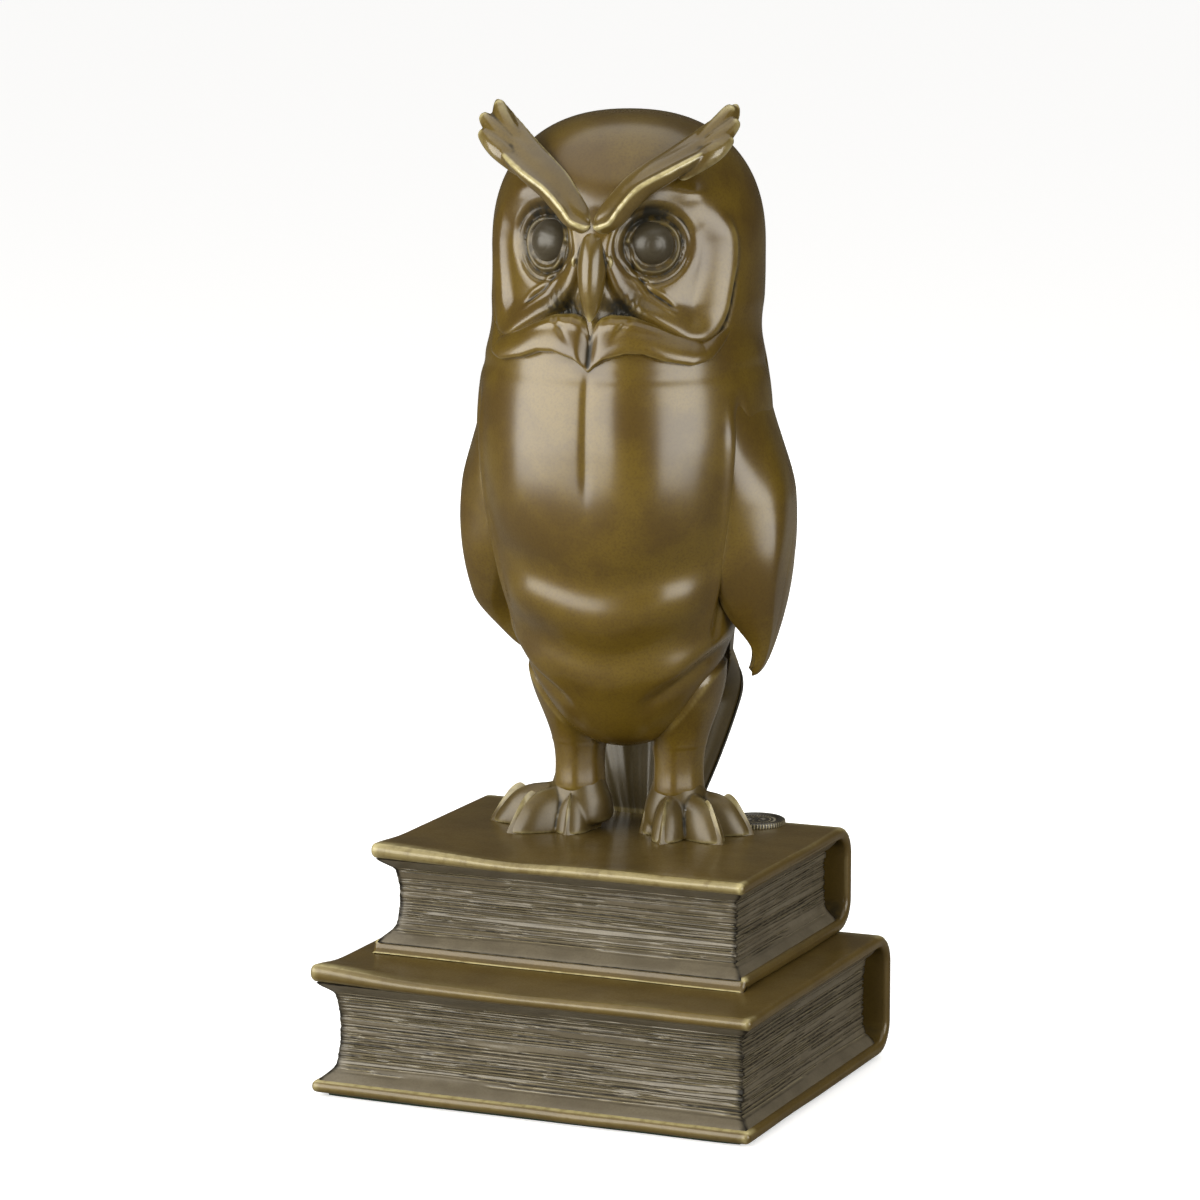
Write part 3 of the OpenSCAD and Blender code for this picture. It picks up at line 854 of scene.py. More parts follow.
@dataclass
class OwlForm:
    """The smooth form of head and torso, and the relief that is modelled on it."""

    turn: float = 8.0
    torso_forward: float = 4.0
    widest_above_low: float = 86.0
    belly_drop: float = 5.0
    torso_r: float = 42.4
    neck_taper: float = 3.4
    head_r: float = 38.9
    dome_power: float = 2.35
    eye_angle: float = 26.5
    origin: Array = field(init=False)
    low_z: float = field(init=False)
    neck_z: float = field(init=False)
    ring_z: float = field(init=False)
    crown_z: float = field(init=False)
    book_z: float = field(init=False)
    disc: Array = field(init=False)

    def __post_init__(self) -> None:
        """Takes the owl's place and heights from the frame."""
        head_low, head_high = box_mm("head_shell")
        torso_low, torso_high = box_mm("torso_shell")
        self.origin = (head_low[:2] + head_high[:2]) / 2
        self.low_z, self.neck_z = torso_low[2], torso_high[2]
        self.crown_z = head_high[2]
        self.ring_z = self.crown_z - (head_high[0] - head_low[0]) / 2
        self.book_z = box_mm("upper_book_cover")[1][2]
        self.disc = spline(self.disc_knots(), 90, closed=True)

    def disc_knots(self) -> Array:
        """Outline of one facial disc, as (unrolled distance from the beak, height)."""
        rim = np.array([
            (50.0, 16.5), (58.0, 12.6), (62.8, 5.0), (62.6, -3.0), (60.0, -10.5), (55.6, -17.5),
            (48.5, -21.8), (40.0, -22.3), (32.0, -19.4), (24.0, -16.2), (16.5, -13.4), (10.4, -8.6),
            (7.4, -2.5), (7.2, 4.0), (14.0, 12.0), (26.0, 18.0), (38.0, 19.5),
        ])
        return np.column_stack([np.radians(rim[:, 0]) * self.head_r, rim[:, 1] + self.ring_z])

    def to_frame(self, p: Array) -> Array:
        """Points in the owl's own axes, moved to the frame's axes."""
        c, s = math.cos(math.radians(self.turn)), math.sin(math.radians(self.turn))
        x, y = p[:, 0] * c - p[:, 1] * s, p[:, 0] * s + p[:, 1] * c
        return np.column_stack([x + self.origin[0], y + self.origin[1], p[:, 2]])

    def turned(self, bm: bmesh.types.BMesh) -> bmesh.types.BMesh:
        """Moves a mesh from the owl's own axes to the frame's."""
        place(bm, self.to_frame(coords(bm)))
        return bm

    def radius(self, z: Array) -> Array:
        """Radius of the smooth form at a height."""
        wide = self.low_z + self.widest_above_low
        u = np.clip((wide - z) / (self.widest_above_low + self.belly_drop), 0, 1)
        torso = self.torso_r * (1 - u**1.5) ** 0.43
        torso = torso - self.neck_taper * np.clip((z - wide) / (self.neck_z - wide), 0, 1.5) ** 2
        v = np.clip((z - self.ring_z) / (self.crown_z - self.ring_z), 0, 1)
        head = self.head_r * (1 - v**self.dome_power) ** (1 / self.dome_power)
        return mix(torso, head, ease(self.neck_z - 6, self.neck_z + 12, z))

    def forward(self, z: Array) -> Array:
        """How far the form's axis stands in front of the head's axis at a height."""
        return self.torso_forward * (1 - ease(self.neck_z - 8, self.neck_z + 20, z))

    def smooth_point(self, turn: Array, z: Array, spread: Array = 1.0) -> Array:
        """Point of the smooth form; turn is in radians from the front, spread shrinks towards the axis."""
        r = self.radius(z) * spread
        return np.column_stack([r * np.sin(turn), -self.forward(z) * np.ones_like(r) - r * np.cos(turn), z])

    def relief(self, p: Array) -> Array:
        """Height of the modelling over the smooth form.

        Args:
            p: points of the smooth form, in the owl's own axes.

        Returns:
            One height per point.
        """
        bearing = np.arctan2(p[:, 0], -p[:, 1])
        x, z = np.abs(bearing) * self.head_r, p[:, 2]
        total = np.zeros(len(p))
        front = np.abs(bearing) < math.radians(100)
        face = front & (z > self.neck_z - 6) & (z < self.ring_z + 34)
        face_height = self.face_relief(x[face], z[face])
        turned_away = ease(24, 34, x[face]) * (bearing[face] < 0)
        total[face] += np.where(face_height > 0, face_height * (1 - 0.65 * turned_away), face_height)
        chest = front & (z < self.neck_z + 2)
        total[chest] += self.chest_relief(bearing[chest], z[chest])
        return total

    def face_relief(self, x: Array, z: Array) -> Array:
        """Facial discs, eye sockets, lids, bridge and hollows of the face.

        Args:
            x: unrolled distance from the beak's line.
            z: height.

        Returns:
            One height per point.
        """
        up = z - self.ring_z
        d = depth_inside(x, z, self.disc)
        sideways = ease(16, 32, x)
        proud = mix(0.7, 1.7, sideways) * (1 - ease(5, 15, up))
        inner = mix(proud, -1.7, ease(0.0, mix(6.0, 10.5, sideways), d))
        outer = proud * np.exp(-((d / mix(1.3, 2.0, sideways)) ** 2))
        disc = np.where(d > 0, inner, outer)
        crease = -0.9 * np.exp(-(((d + 2.0) / 1.4) ** 2)) * ease(-2, -9, up)
        eye_x = math.radians(self.eye_angle) * self.head_r
        ex, ez = x - eye_x, up - 3.4
        e = np.hypot(ex / 1.08, ez)
        socket = -2.4 * (1 - ease(6.5, 13.5, e))
        upper = ease(-5, 2, ez - 0.3 * ex)
        lid = 0.7 * hump(e, 7.3, 0.8) - 0.5 * hump(e, 8.7, 0.4) + 0.1 * hump(e, 9.5, 0.5)
        second = (0.15 * hump(e, 9.9, 0.7) - 0.4 * hump(e, 10.9, 0.4)) * upper
        third = 0.2 * hump(e, 12.2, 0.9) * ease(1, 6, ez)
        bag = (-0.35 * hump(e, 10.4, 0.4) + 0.1 * hump(e, 11.4, 0.7)) * ease(-1, -6, ez)
        line = np.array([(9.8, 3.6), (11.8, -3.2), (16.5, -9.2), (24.0, -14.0)]) + (0, self.ring_z)
        tear = to_segments(x, z, line)
        tears = -0.5 * hump(tear, 0, 0.55) + 0.28 * hump(tear, 1.4, 0.7)
        tears = tears * (1 - ease(21, 25, x))
        bridge = 1.2 * hump(x, 0, 4.5) * ease(-6, 3, up) * (1 - ease(8, 15, up))
        pit = -3.4 * np.exp(-(((x - 7.0) / 5.2) ** 2)) * hump(up, -15.3, 4.0)
        bristle = 0.22 * np.sin(x * 2.9 - up * 0.9) * hump(x, 9.0, 4.0) * hump(up, -14.5, 3.5)
        under_brow = -2.4 * np.exp(-(((x - 13.0) / 7.0) ** 2)) * hump(up, 11.0, 4.5)
        lobe = 0.9 * hump(x, 31, 6.0) * hump(up, 17.0, 2.6)
        return (disc + crease + socket + lid + second + third + bag + tears + bridge + pit + bristle
                + under_brow + lobe)

    def chest_relief(self, bearing: Array, z: Array) -> Array:
        """Groove of the breast, soft folds of the belly and the channel beside each wing.

        Args:
            bearing: angle from the front, in radians.
            z: height.

        Returns:
            One height per point.
        """
        degrees = np.abs(np.degrees(bearing))
        x = bearing * self.torso_r
        over = z - self.book_z
        upper = ease(99, 112, over) * (1 - ease(134, 141, over))
        groove = -0.4 * np.exp(-((x / 1.5) ** 2)) * upper - 0.8 * np.exp(-((x / 6.0) ** 2)) * ease(90, 118, over)
        sag = over + 6.0 * hump(np.degrees(bearing), 4, 26)
        breast = 0.9 * hump(degrees, 24, 17) * hump(over, 103, 17)
        roll = (0.9 * hump(over, 98, 13) - 1.3 * hump(sag, 83.5, 6.5) + 1.2 * hump(sag, 73.5, 6.0)
                - 1.2 * hump(sag, 62.0, 5.0) + 0.8 * hump(sag, 54.0, 5.0))
        roll = roll * (1 - ease(36, 58, degrees)) + breast
        sling = over - 47 + 9.0 * np.cos(np.radians(np.clip(degrees * 2.2, 0, 180)))
        thigh = (-1.3 * hump(sling, 0, 3.0) + 0.7 * hump(sling, 6.0, 3.5)) * ease(16, 34, degrees)
        thigh = thigh * (1 - ease(70, 95, degrees))
        channel = -1.3 * hump(degrees, 61, 3.0) * ease(56, 74, over) * (1 - ease(122, 134, over))
        bead = 0.7 * hump(degrees, 55.5, 2.6) * ease(56, 80, over) * (1 - ease(118, 132, over))
        return groove + roll + thigh + channel + bead - 0.5 * hump(over, 137.5, 2.5)

    def paint_face_shade(self, obj: bpy.types.Object) -> None:
        """Paints shade where shadow falls in the face's deepest hollows: beside the beak, round the eyes, under
        the brows.
        """
        mesh = obj.data
        p = points_of(mesh) - [*self.origin, self.ring_z]
        c, s = math.cos(math.radians(self.turn)), math.sin(math.radians(self.turn))
        x, y, up = p[:, 0] * c + p[:, 1] * s, p[:, 1] * c - p[:, 0] * s, p[:, 2]
        across = np.abs(np.arctan2(x, -y)) * self.head_r
        e = np.hypot((across - math.radians(self.eye_angle) * self.head_r) / 1.08, up - 3.4)
        beside = 1.3 * np.exp(-(((across - 8.0) / 6.0) ** 2)) * hump(up, -15.0, 5.4)
        socket = 0.75 * (1 - ease(7.5, 12.0, e))
        shade = 0.9 * np.exp(-(((across - 15.0) / 10.0) ** 2)) * hump(up, 12.5, 4.0)
        stored = np.empty(len(mesh.vertices), np.float32)
        layer = mesh.attributes["hollow"]
        layer.data.foreach_get("value", stored)
        # Painted shade: the shadow beside the beak, in the eye sockets and under the brows darkens the head's
        # colour
        darker = np.maximum(stored, np.clip(beside + socket + shade, 0, 1))
        layer.data.foreach_set("value", darker.astype(np.float32))

    def skin(self, turn: Array, z: Array, spread: Array = 1.0) -> Array:
        """Point of the finished surface, with its relief along the smooth form's normal."""
        p = self.smooth_point(turn, z, spread)
        dz = 0.4
        a = self.smooth_point(turn, z - dz, spread)
        b = self.smooth_point(turn, np.minimum(z + dz, self.crown_z - 1e-3), spread)
        rise = unit(b - a)
        side = np.column_stack([np.cos(turn), np.sin(turn), np.zeros(len(p))])
        normal = unit(np.cross(side, rise))
        return p + normal * (self.relief(p) * np.minimum(1, spread))[:, None]


@dataclass
class OwlBody:
    """Torso and head, two castings that meet at the neck."""

    form: OwlForm
    around: int = 420
    torso_rows: int = 210
    head_rows: int = 214
    front_crowding: float = 0.5

    def bearing(self, turn: Array) -> Array:
        """Turn from the front in radians, with the points crowded towards the face."""
        t = (turn + math.pi) % math.tau - math.pi
        return t - self.front_crowding * np.sin(t)

    def torso(self, turn: Array, t: Array) -> Array:
        """Points of the torso: closed lid, chest, belly, pole."""
        f = self.form
        wide = f.low_z + f.widest_above_low
        lid, chest = 6 / self.torso_rows, 57 / self.torso_rows
        a = np.clip((t - chest) / (1 - chest), 0, 1)
        belly_z = wide - (f.widest_above_low + f.belly_drop) * np.sin(a * math.pi / 2)
        chest_z = mix(f.neck_z, wide, np.clip((t - lid) / (chest - lid), 0, 1))
        z = np.where(t < chest, chest_z, belly_z)
        spread = np.clip(t / lid, 0, 1)
        return f.skin(self.bearing(turn), z, spread)

    def head(self, turn: Array, t: Array) -> Array:
        """Points of the head: closed lid, cheeks, dome, crown."""
        f = self.form
        lid, cheek = 6 / self.head_rows, 86 / self.head_rows
        a = np.clip((t - cheek) / (1 - cheek), 0, 1) * math.pi / 2
        dome_z = f.ring_z + (f.crown_z - f.ring_z) * np.sin(a) ** (2 / f.dome_power)
        side_z = mix(f.neck_z, f.ring_z, np.clip((t - lid) / (cheek - lid), 0, 1))
        z = np.where(t < cheek, side_z, dome_z)
        return f.skin(self.bearing(turn), z, np.clip(t / lid, 0, 1))

    def build(self, shop: Workshop) -> None:
        """Makes both castings."""
        torso = self.form.turned(shape_tube(self.around, self.torso_rows, self.torso))
        rub = Rubbing(reach=1.4, bright_from=0.12, bright_full=0.45, dark_from=0.07, dark_full=0.3,
                      wide_from=0.5, wide_dark=1.6, joint_z=self.form.neck_z)
        shop.piece("torso", torso, shop.finishes.owl, "owl_bronze", ("torso_shell",), rub)
        head = self.form.turned(shape_tube(self.around, self.head_rows, self.head))
        head_obj = shop.piece("head", head, shop.finishes.owl, "owl_bronze", ("head_shell",), rub)
        # Painted shade in the face's deepest hollows, added to the head's hollow attribute
        self.form.paint_face_shade(head_obj)


@dataclass
class NeckRuff:
    """Two soft lobes of feathers under the chin, over the joint between head and torso."""

    form: OwlForm
    half_turn: float = 72.0
    stand: float = 3.0
    sunk: float = 2.0

    def edges(self, degrees: Array) -> tuple[Array, Array]:
        """Heights of the ruff's lower and upper edge over the neck joint at a bearing."""
        side = np.abs(degrees)
        low = np.interp(side, [0, 2, 6, 15, 22, 30, 42, 51, 59, 66, 72],
                        [-5.9, -4.6, -2.7, -0.9, -1.0, -2.9, -4.4, -3.1, 0.4, 4.6, 7.0])
        top = np.interp(side, [0, 2, 4, 8, 17, 27, 35, 48, 58, 66, 72],
                        [4.4, 7.6, 9.2, 10.1, 9.6, 7.3, 5.0, 2.4, 4.4, 6.4, 7.6])
        return low, top

    def build(self, shop: Workshop) -> None:
        """Makes the ruff as one closed band over the throat."""
        f = self.form

        def shape(u: Array, v: Array, front: Array) -> Array:
            """Points of the ruff."""
            degrees = self.half_turn * (2 * u - 1)
            low, top = self.edges(degrees)
            z = f.neck_z + mix(low, top, v)
            taper = ease(self.half_turn - 2, self.half_turn - 30, np.abs(degrees))
            belly = np.sin(math.pi * np.clip(v, 0, 1) ** 0.62) ** 0.6
            lobes = 1 - 0.75 * np.exp(-((degrees / 3.2) ** 2)) - 0.25 * np.exp(-((degrees / 12) ** 2))
            second = 0.5 * hump(v, 0.82, 0.1) * hump(np.abs(degrees), 14, 11)
            fold = -0.5 * hump(np.abs(degrees) - 11 * v, 5.0, 1.6) * ease(0.25, 0.8, v)
            out = (self.stand * belly * lobes + second + fold + 0.4) * taper - 0.4
            skin = np.where(front > 0.5, out, -self.sunk)
            rim = np.minimum(1, np.minimum(v, 1 - v) * 14) * np.minimum(1, np.minimum(u, 1 - u) * 40)
            skin = np.where(front > 0.5, mix(-0.7, skin, np.sqrt(rim)), skin)
            bearing = np.radians(degrees)
            p = f.smooth_point(bearing, z)
            away = unit(np.column_stack([p[:, 0], p[:, 1] + f.forward(z), np.zeros(len(p))]))
            return p + away * skin[:, None]

        bm = f.turned(shape_patch(300, 70, shape))
        soften(bm)
        rub = Rubbing(reach=1.2, bright_from=0.08, bright_full=0.3, dark_from=0.06, dark_full=0.25)
        shop.piece("neck_ruff", bm, shop.finishes.owl, "owl_bronze", ("neck_ruff",), rub)


@dataclass
class Brow:
    """One brow that sweeps up from the bridge of the beak into an ear tuft of stepped feathers."""

    form: OwlForm
    side: Side
    voxel: float = 0.38

    def crest(self) -> Array:
        """Knots of the bright lower edge: bearing in degrees, height over the ring, radius."""
        lift = 1.6 if self.side is Side.LEFT else 0.4
        return np.array([
            (0.5, 7.3, 40.2), (4.5, 8.2, 41.4), (8.8, 9.8, 42.0), (13.2, 13.4 + lift * 0.5, 42.2),
            (19.8, 17.6 + lift, 42.2), (32.6, 22.4 + lift, 42.0), (48.3, 27.8 + lift * 0.7, 41.2),
            (60.0, 34.2, 40.2), (67.5, 41.0, 38.6),
        ])

    def crease(self) -> Array:
        """Knots of the upper edge, where the brow meets the forehead: bearing, height, radius."""
        return np.array([
            (0.5, 12.0, 35.4), (4.0, 15.2, 35.6), (8.5, 18.6, 35.2), (15.0, 22.6, 33.6), (25.0, 26.4, 32.0),
            (40.0, 30.8, 30.8), (56.0, 36.4, 32.4), (66.0, 40.8, 35.4), (69.5, 42.2, 37.2),
        ])

    def own(self, knots: Array) -> Array:
        """Knots given by bearing, height and radius, as points in the owl's own axes."""
        a = np.radians(knots[:, 0]) * self.side.value
        return np.column_stack([knots[:, 2] * np.sin(a), -knots[:, 2] * np.cos(a),
                                self.form.ring_z + knots[:, 1]])

    def blade(self) -> bmesh.types.BMesh:
        """The brow itself: a shelf with a rolled lower edge that thins into the tuft."""
        crest, crease = self.own(self.crest()), self.own(self.crease())

        def shape(turn: Array, t: Array) -> Array:
            """Points of the shelf."""
            low, top = along(crest, t), along(crease, t)
            ahead = along(crest, np.clip(t + 0.02, 0, 1)) - along(crest, np.clip(t - 0.02, 0, 1))
            over = unit(np.cross(ahead, top - low)) * self.side.value
            over = over * np.sign(over[:, 2:3] + 1e-9)
            s = (1 - np.cos(turn)) / 2
            upper = np.sin(turn) > 0
            free = ease(0.5, 0.85, t)
            swell = np.abs(np.sin(turn))
            lip = 0.8 * np.exp(-(((s - 0.05) / 0.10) ** 2)) * (1 - ease(0.93, 1.0, t))
            bulge = mix(1.5, 1.1, free) * swell * (1 - 0.25 * hump(s, 0.3, 0.14))
            quills = -0.22 * np.cos(s * math.tau * 3.0) * swell * free
            under = -mix(5.4, 2.6, free) * swell**0.8 * (1 - s) ** 0.35
            scallop = 0.25 * np.cos(t * math.tau * 9) * swell * free
            h = np.where(upper, bulge + lip + quills, under + scallop)
            ends = np.sqrt(np.clip(1 - (2 * t - 1) ** 16, 0, 1))
            mid = (low + top) / 2
            return mix(mid, low + (top - low) * s[:, None], ends[:, None]) + over * (h * ends)[:, None]

        return shape_tube(64, 110, shape)

    def feathers(self) -> list[bmesh.types.BMesh]:
        """Rounded feather tips that step down the outer edge of the tuft."""
        z, s = self.form.ring_z, self.side.value
        reach = 1.0 if self.side is Side.LEFT else 1.06
        tips = [
            [(21.0, -26.0, z + 25.0), (30.0, -20.5, z + 34.5), (34.2, -15.4, z + 41.4)],
            [(22.0, -28.0, z + 24.0), (31.5, -23.0, z + 32.0), (36.2 * reach, -17.4, z + 37.6)],
            [(21.5, -30.0, z + 22.4), (31.0, -26.5, z + 28.8), (35.4 * reach, -21.4, z + 33.2)],
        ]
        made = []
        for line in tips:
            knots = np.array(line) * [s, 1, 1]
            made.append(swept(knots, [2.4, 2.9, 1.7], [2.0, 2.4, 1.5], up=(0.55 * s, -0.6, 0.55), steps=30))
        return made

    def build(self, shop: Workshop) -> None:
        """Makes the brow and its tuft as one casting."""
        bm = blended(merged([self.blade(), *self.feathers()]), self.voxel, rounds=4)
        node = f"brow_tuft_{self.side.word}"
        rub = Rubbing(reach=1.1, bright_from=0.10, bright_full=0.26, dark_from=0.05, dark_full=0.2)
        shop.piece(f"brow_{self.side.word}", self.form.turned(bm), shop.finishes.worn, "worn_bronze",
                   (node,), rub)


@dataclass
class Eye:
    """One eyeball between its lids, with a faint pupil mark."""

    form: OwlForm
    side: Side
    radius: float = 7.1
    front_r: float = 37.3
    lift: float = 3.4

    def build(self, shop: Workshop) -> None:
        """Makes the eyeball."""
        f = self.form
        a = math.radians(f.eye_angle)
        bm = bmesh.new()
        bmesh.ops.create_uvsphere(bm, u_segments=96, v_segments=64, radius=self.radius)
        bmesh.ops.rotate(bm, verts=bm.verts, cent=(0, 0, 0), matrix=Matrix.Rotation(math.pi / 2, 3, "X"))
        p = coords(bm)
        across = np.hypot(p[:, 0], p[:, 2]) / self.radius
        front = p[:, 1] < 0
        pupil = np.where(front, -0.05 * hump(across, 0.33, 0.05), 0)
        p = p * (1 + pupil / self.radius)[:, None]
        place(bm, p)
        bmesh.ops.rotate(bm, verts=bm.verts, cent=(0, 0, 0),
                         matrix=Matrix.Rotation(a * self.side.value, 3, "Z"))
        r = self.front_r - self.radius
        offset = (r * math.sin(a) * self.side.value, -r * math.cos(a), f.ring_z + self.lift)
        bmesh.ops.translate(bm, verts=bm.verts, vec=offset)
        name = f"eye_{self.side.word}"
        rub = Rubbing(bright_from=0.3, bright_full=0.6)
        shop.piece(name, f.turned(bm), shop.finishes.dark, "dark_bronze", (name,), rub)


@dataclass
class Beak:
    """Hooked beak with a keeled ridge, and the bare skin with its nostrils beside it."""

    form: OwlForm
    voxel: float = 0.3

    def build(self, shop: Workshop) -> None:
        """Makes the beak as one casting."""
        z = self.form.ring_z
        line = [(0, -33.8, z + 8.5), (0, -37.4, z + 3.5), (0, -39.2, z - 2.5), (0, -39.8, z - 8.5),
                (0, -40.2, z - 13.5), (0, -41.6, z - 17.6)]
        hook = swept(line, [3.2, 3.9, 4.1, 3.6, 2.5, 0.6], [3.4, 4.2, 4.8, 4.4, 3.0, 0.6],
                     up=(0, -1, 0.15), power=1.75, around=44, steps=64)
        parts = [hook]
        for s in (-1, 1):
            cere = [(s * 2.2, -36.4, z + 5.5), (s * 4.0, -37.4, z + 1.5), (s * 4.6, -36.8, z - 5.0)]
            parts.append(swept(cere, [1.3, 1.9, 1.3], [1.6, 2.4, 1.6], up=(0, -1, 0), steps=28))
            curl = [(s * 3.9, -38.8, z + 1.8), (s * 5.2, -38.9, z - 0.6), (s * 4.9, -38.4, z - 3.4)]
            parts.append(swept(curl, [0.5, 0.8, 0.5], [0.8, 1.0, 0.7], up=(0, -1, 0), steps=24))
        bm = blended(merged(parts), self.voxel, rounds=2)
        rub = Rubbing(reach=1.2, bright_from=0.14, bright_full=0.5)
        shop.piece("beak", self.form.turned(bm), shop.finishes.worn, "worn_bronze", ("beak",), rub)


@dataclass
class Wing:
    """One folded wing: a leaf of long overlapping feathers that ends in a point."""

    form: OwlForm
    side: Side
    thickness: float = 6.5
    below_neck: float = 5.0
    widest_z: float = 92.0
    half_chord: float = 38.5

    def build(self, shop: Workshop) -> None:
        """Makes the wing as one closed plate."""
        f, s = self.form, self.side.value
        left = self.side is Side.LEFT
        tip_z, sag, proud = (51.0, 6.8, 49.4) if left else (56.0, 8.0, 46.6)
        top, tip = f.neck_z - self.below_neck, f.book_z + tip_z
        length = top - tip
        mid = f.book_z + self.widest_z
        arc = (self.half_chord**2 + sag**2) / (2 * sag)

        def shape(u: Array, v: Array, front: Array) -> Array:
            """Points of the wing, u from its front edge to its back edge and v from tip to top."""
            front_edge = 59.5 + 24 * (1 - ease(0, 0.42, v)) ** 1.5 + 3 * ease(0.85, 1.0, v)
            back_edge = mix(92, 142, ease(-0.1, 0.72, v)) - 12 * ease(0.85, 1.0, v)
            degrees = mix(front_edge, back_edge, u)
            z = tip + length * v - 3.0 * np.sin(math.pi * u) * ease(0.3, 0, v)
            r = proud - arc + np.sqrt(np.maximum(arc**2 - (z - mid) ** 2, 1.0))
            body = f.radius(z)
            span = degrees.max() - degrees.min()
            edge = np.minimum(np.minimum(u, 1 - u) * span * 0.09, np.minimum(v * 20, 1.0))
            round_off = rounded(edge)
            feather = 0.0
            for k, (share, deep) in enumerate(((0.40, 0.5), (0.58, 0.7), (0.76, 0.8))):
                run = u - share - 0.05 * np.sin(3 * v + k)
                step = np.where(run > 0, np.exp(-run / 0.09), 0) * ease(0.0, 0.014, run)
                feather = feather - deep * step * (1 - ease(0.55, 0.9, v))
            keel = 0.9 * hump(u, 0.25, 0.10) * ease(0.1, 0.5, v) * (1 - ease(0.75, 1.0, v))
            thick = self.thickness * mix(0.4, 1.0, ease(0, 0.3, v))
            hug = mix(r - 2.0, np.minimum(body + 1.6, r), ease(0.04, 0.3, v))
            leaf = mix(hug, r, ease(-0.04, 0.27, u))
            if not left:
                leaf = mix(body + 2.6, leaf, ease(-0.03, 0.17, v))
            lip = np.minimum(thick - 0.5, 2.4 + 6 * ease(0.1, 0.3, u))
            outer = leaf + feather + keel - lip * (1 - round_off)
            free = r - thick if left else body + 0.3
            inner = mix(free, np.minimum(r - thick, body - 1.0), ease(0.02, 0.26, v))
            shoulder = ease(0.55, 1.0, v)
            outer = mix(outer, body - 1.2, shoulder)
            inner = mix(inner, body - 5.0, shoulder)
            rr = np.where(front > 0.5, outer, inner)
            a = np.radians(degrees) * s
            return np.column_stack([rr * np.sin(a), -f.torso_forward - rr * np.cos(a), z])

        bm = f.turned(shape_patch(130, 220, shape))
        soften(bm)
        name = f"wing_{self.side.word}"
        rub = Rubbing(reach=1.4, bright_from=0.2, bright_full=0.6, dark_from=0.06, dark_full=0.3,
                      wide_from=0.6, wide_dark=1.8)
        shop.piece(name, bm, shop.finishes.owl, "owl_bronze", (name,), rub)


@dataclass
class Tail:
    """Tail of flat overlapping feathers that rests its end on the upper book."""

    form: OwlForm
    lean: float = 7.0
    thickness: float = 9.0
    reach: float = 67.0
    set_in: float = 6.0
    tip_half: float = 13.0
    widening: float = 17.5

    def build(self, shop: Workshop) -> None:
        """Makes the tail as one closed plate with feather ribs front and back."""
        f = self.form
        base = f.torso_r - f.torso_forward - self.set_in
        tilt = math.tan(math.radians(self.lean))

        def shape(u: Array, v: Array, front: Array) -> Array:
            """Points of the tail, u from side to side and v from the book upwards."""
            half = self.tip_half + self.widening * (1 - (1 - v) ** 1.7)
            x = (2 * u - 1) * half
            edge = np.minimum(np.minimum(u, 1 - u) * 9, 1)
            round_off = rounded(edge)
            z = f.book_z + self.reach * v
            bow = 4.5 * (1 - (2 * u - 1) ** 2)
            ribs = 0.9 * np.abs(np.sin(u * math.pi * 7)) ** 0.6 - 0.6
            creases = 0.14 * np.cos(u * math.tau * 5) + 0.05 * np.cos(u * math.tau * 11)
            t = self.thickness * (0.25 + 0.75 * round_off)
            # The back face carries the feathers that show; the front one is ribbed between the legs
            y_back = base + bow - 4.5 + ribs
            y_front = base - t - 2.5 * (1 - (2 * u - 1) ** 2) + creases
            y = np.where(front > 0.5, y_back, y_front) + tilt * (z - f.book_z) - 0.5
            # Its top melts into the owl's back
            skin = np.sqrt(np.maximum(f.radius(z) ** 2 - x**2, 1.0)) - f.torso_forward - 1.5
            under = np.where(front > 0.5, skin, skin - 6.0)
            y = mix(y, np.minimum(y, under), ease(0.5, 0.97, v))
            return np.column_stack([x, y, z])

        bm = f.turned(shape_patch(150, 120, shape))
        rub = Rubbing(reach=1.4, bright_from=0.15, bright_full=0.5, dark_from=0.05, dark_full=0.25)
        # The tail's darker finish is painted shade
        shop.piece("tail", bm, shop.finishes.tail, "dark_bronze", ("tail",), rub)


@dataclass
class Leg:
    """One leg from its rounded thigh to the ankle, with soft creases."""

    form: OwlForm
    side: Side
    ankle_x: float = 14.8
    fillet: float = 6.0

    def build(self, shop: Workshop) -> None:
        """Makes the leg."""
        f, s = self.form, self.side.value
        low, high = f.book_z + 10.5, f.low_z + 26.0

        def shape(turn: Array, t: Array) -> Array:
            """Points of the leg from ankle to hip."""
            z = mix(low, high, t)
            h = z - f.book_z
            r = 7.0 + 1.2 * np.exp(-(h - 10.5) / 3.4) + 6.8 * ease(17, 47, h) ** 1.35 - 2.5 * ease(46, 60, h)
            r = r * np.sqrt(np.clip(1 - (2 * t - 1) ** 22, 0, 1))
            crease = 0.3 * np.sin(3 * turn + 0.8) * (1 - ease(0.5, 0.8, t)) + 0.12 * np.sin(7 * turn)
            r = r + crease
            x = s * (self.ankle_x - 0.6 * ease(0.45, 1.0, t)) + r * np.cos(turn)
            y = r * np.sin(turn) * 1.04 - 0.5
            # Where it nears the belly, its skin flares to meet the belly's
            slope = (f.radius(z + 0.5) - f.radius(z - 0.5))
            away = (np.hypot(x, y + f.forward(z)) - f.radius(z)) / np.sqrt(1 + slope**2)
            flare = self.fillet / 4 * np.clip(1 - np.abs(away) / self.fillet, 0, 1) ** 2 * ease(22, 34, h)
            out = unit(np.column_stack([x, y + f.forward(z)]))
            return np.column_stack([x + out[:, 0] * flare, y + out[:, 1] * flare, z])

        bm = f.turned(shape_tube(96, 110, shape))
        name = f"leg_{self.side.word}"
        rub = Rubbing(reach=1.4, bright_from=0.12, bright_full=0.45, dark_from=0.05, dark_full=0.25,
                      joint_z=low)
        shop.piece(name, bm, shop.finishes.owl, "owl_bronze", (name,), rub)


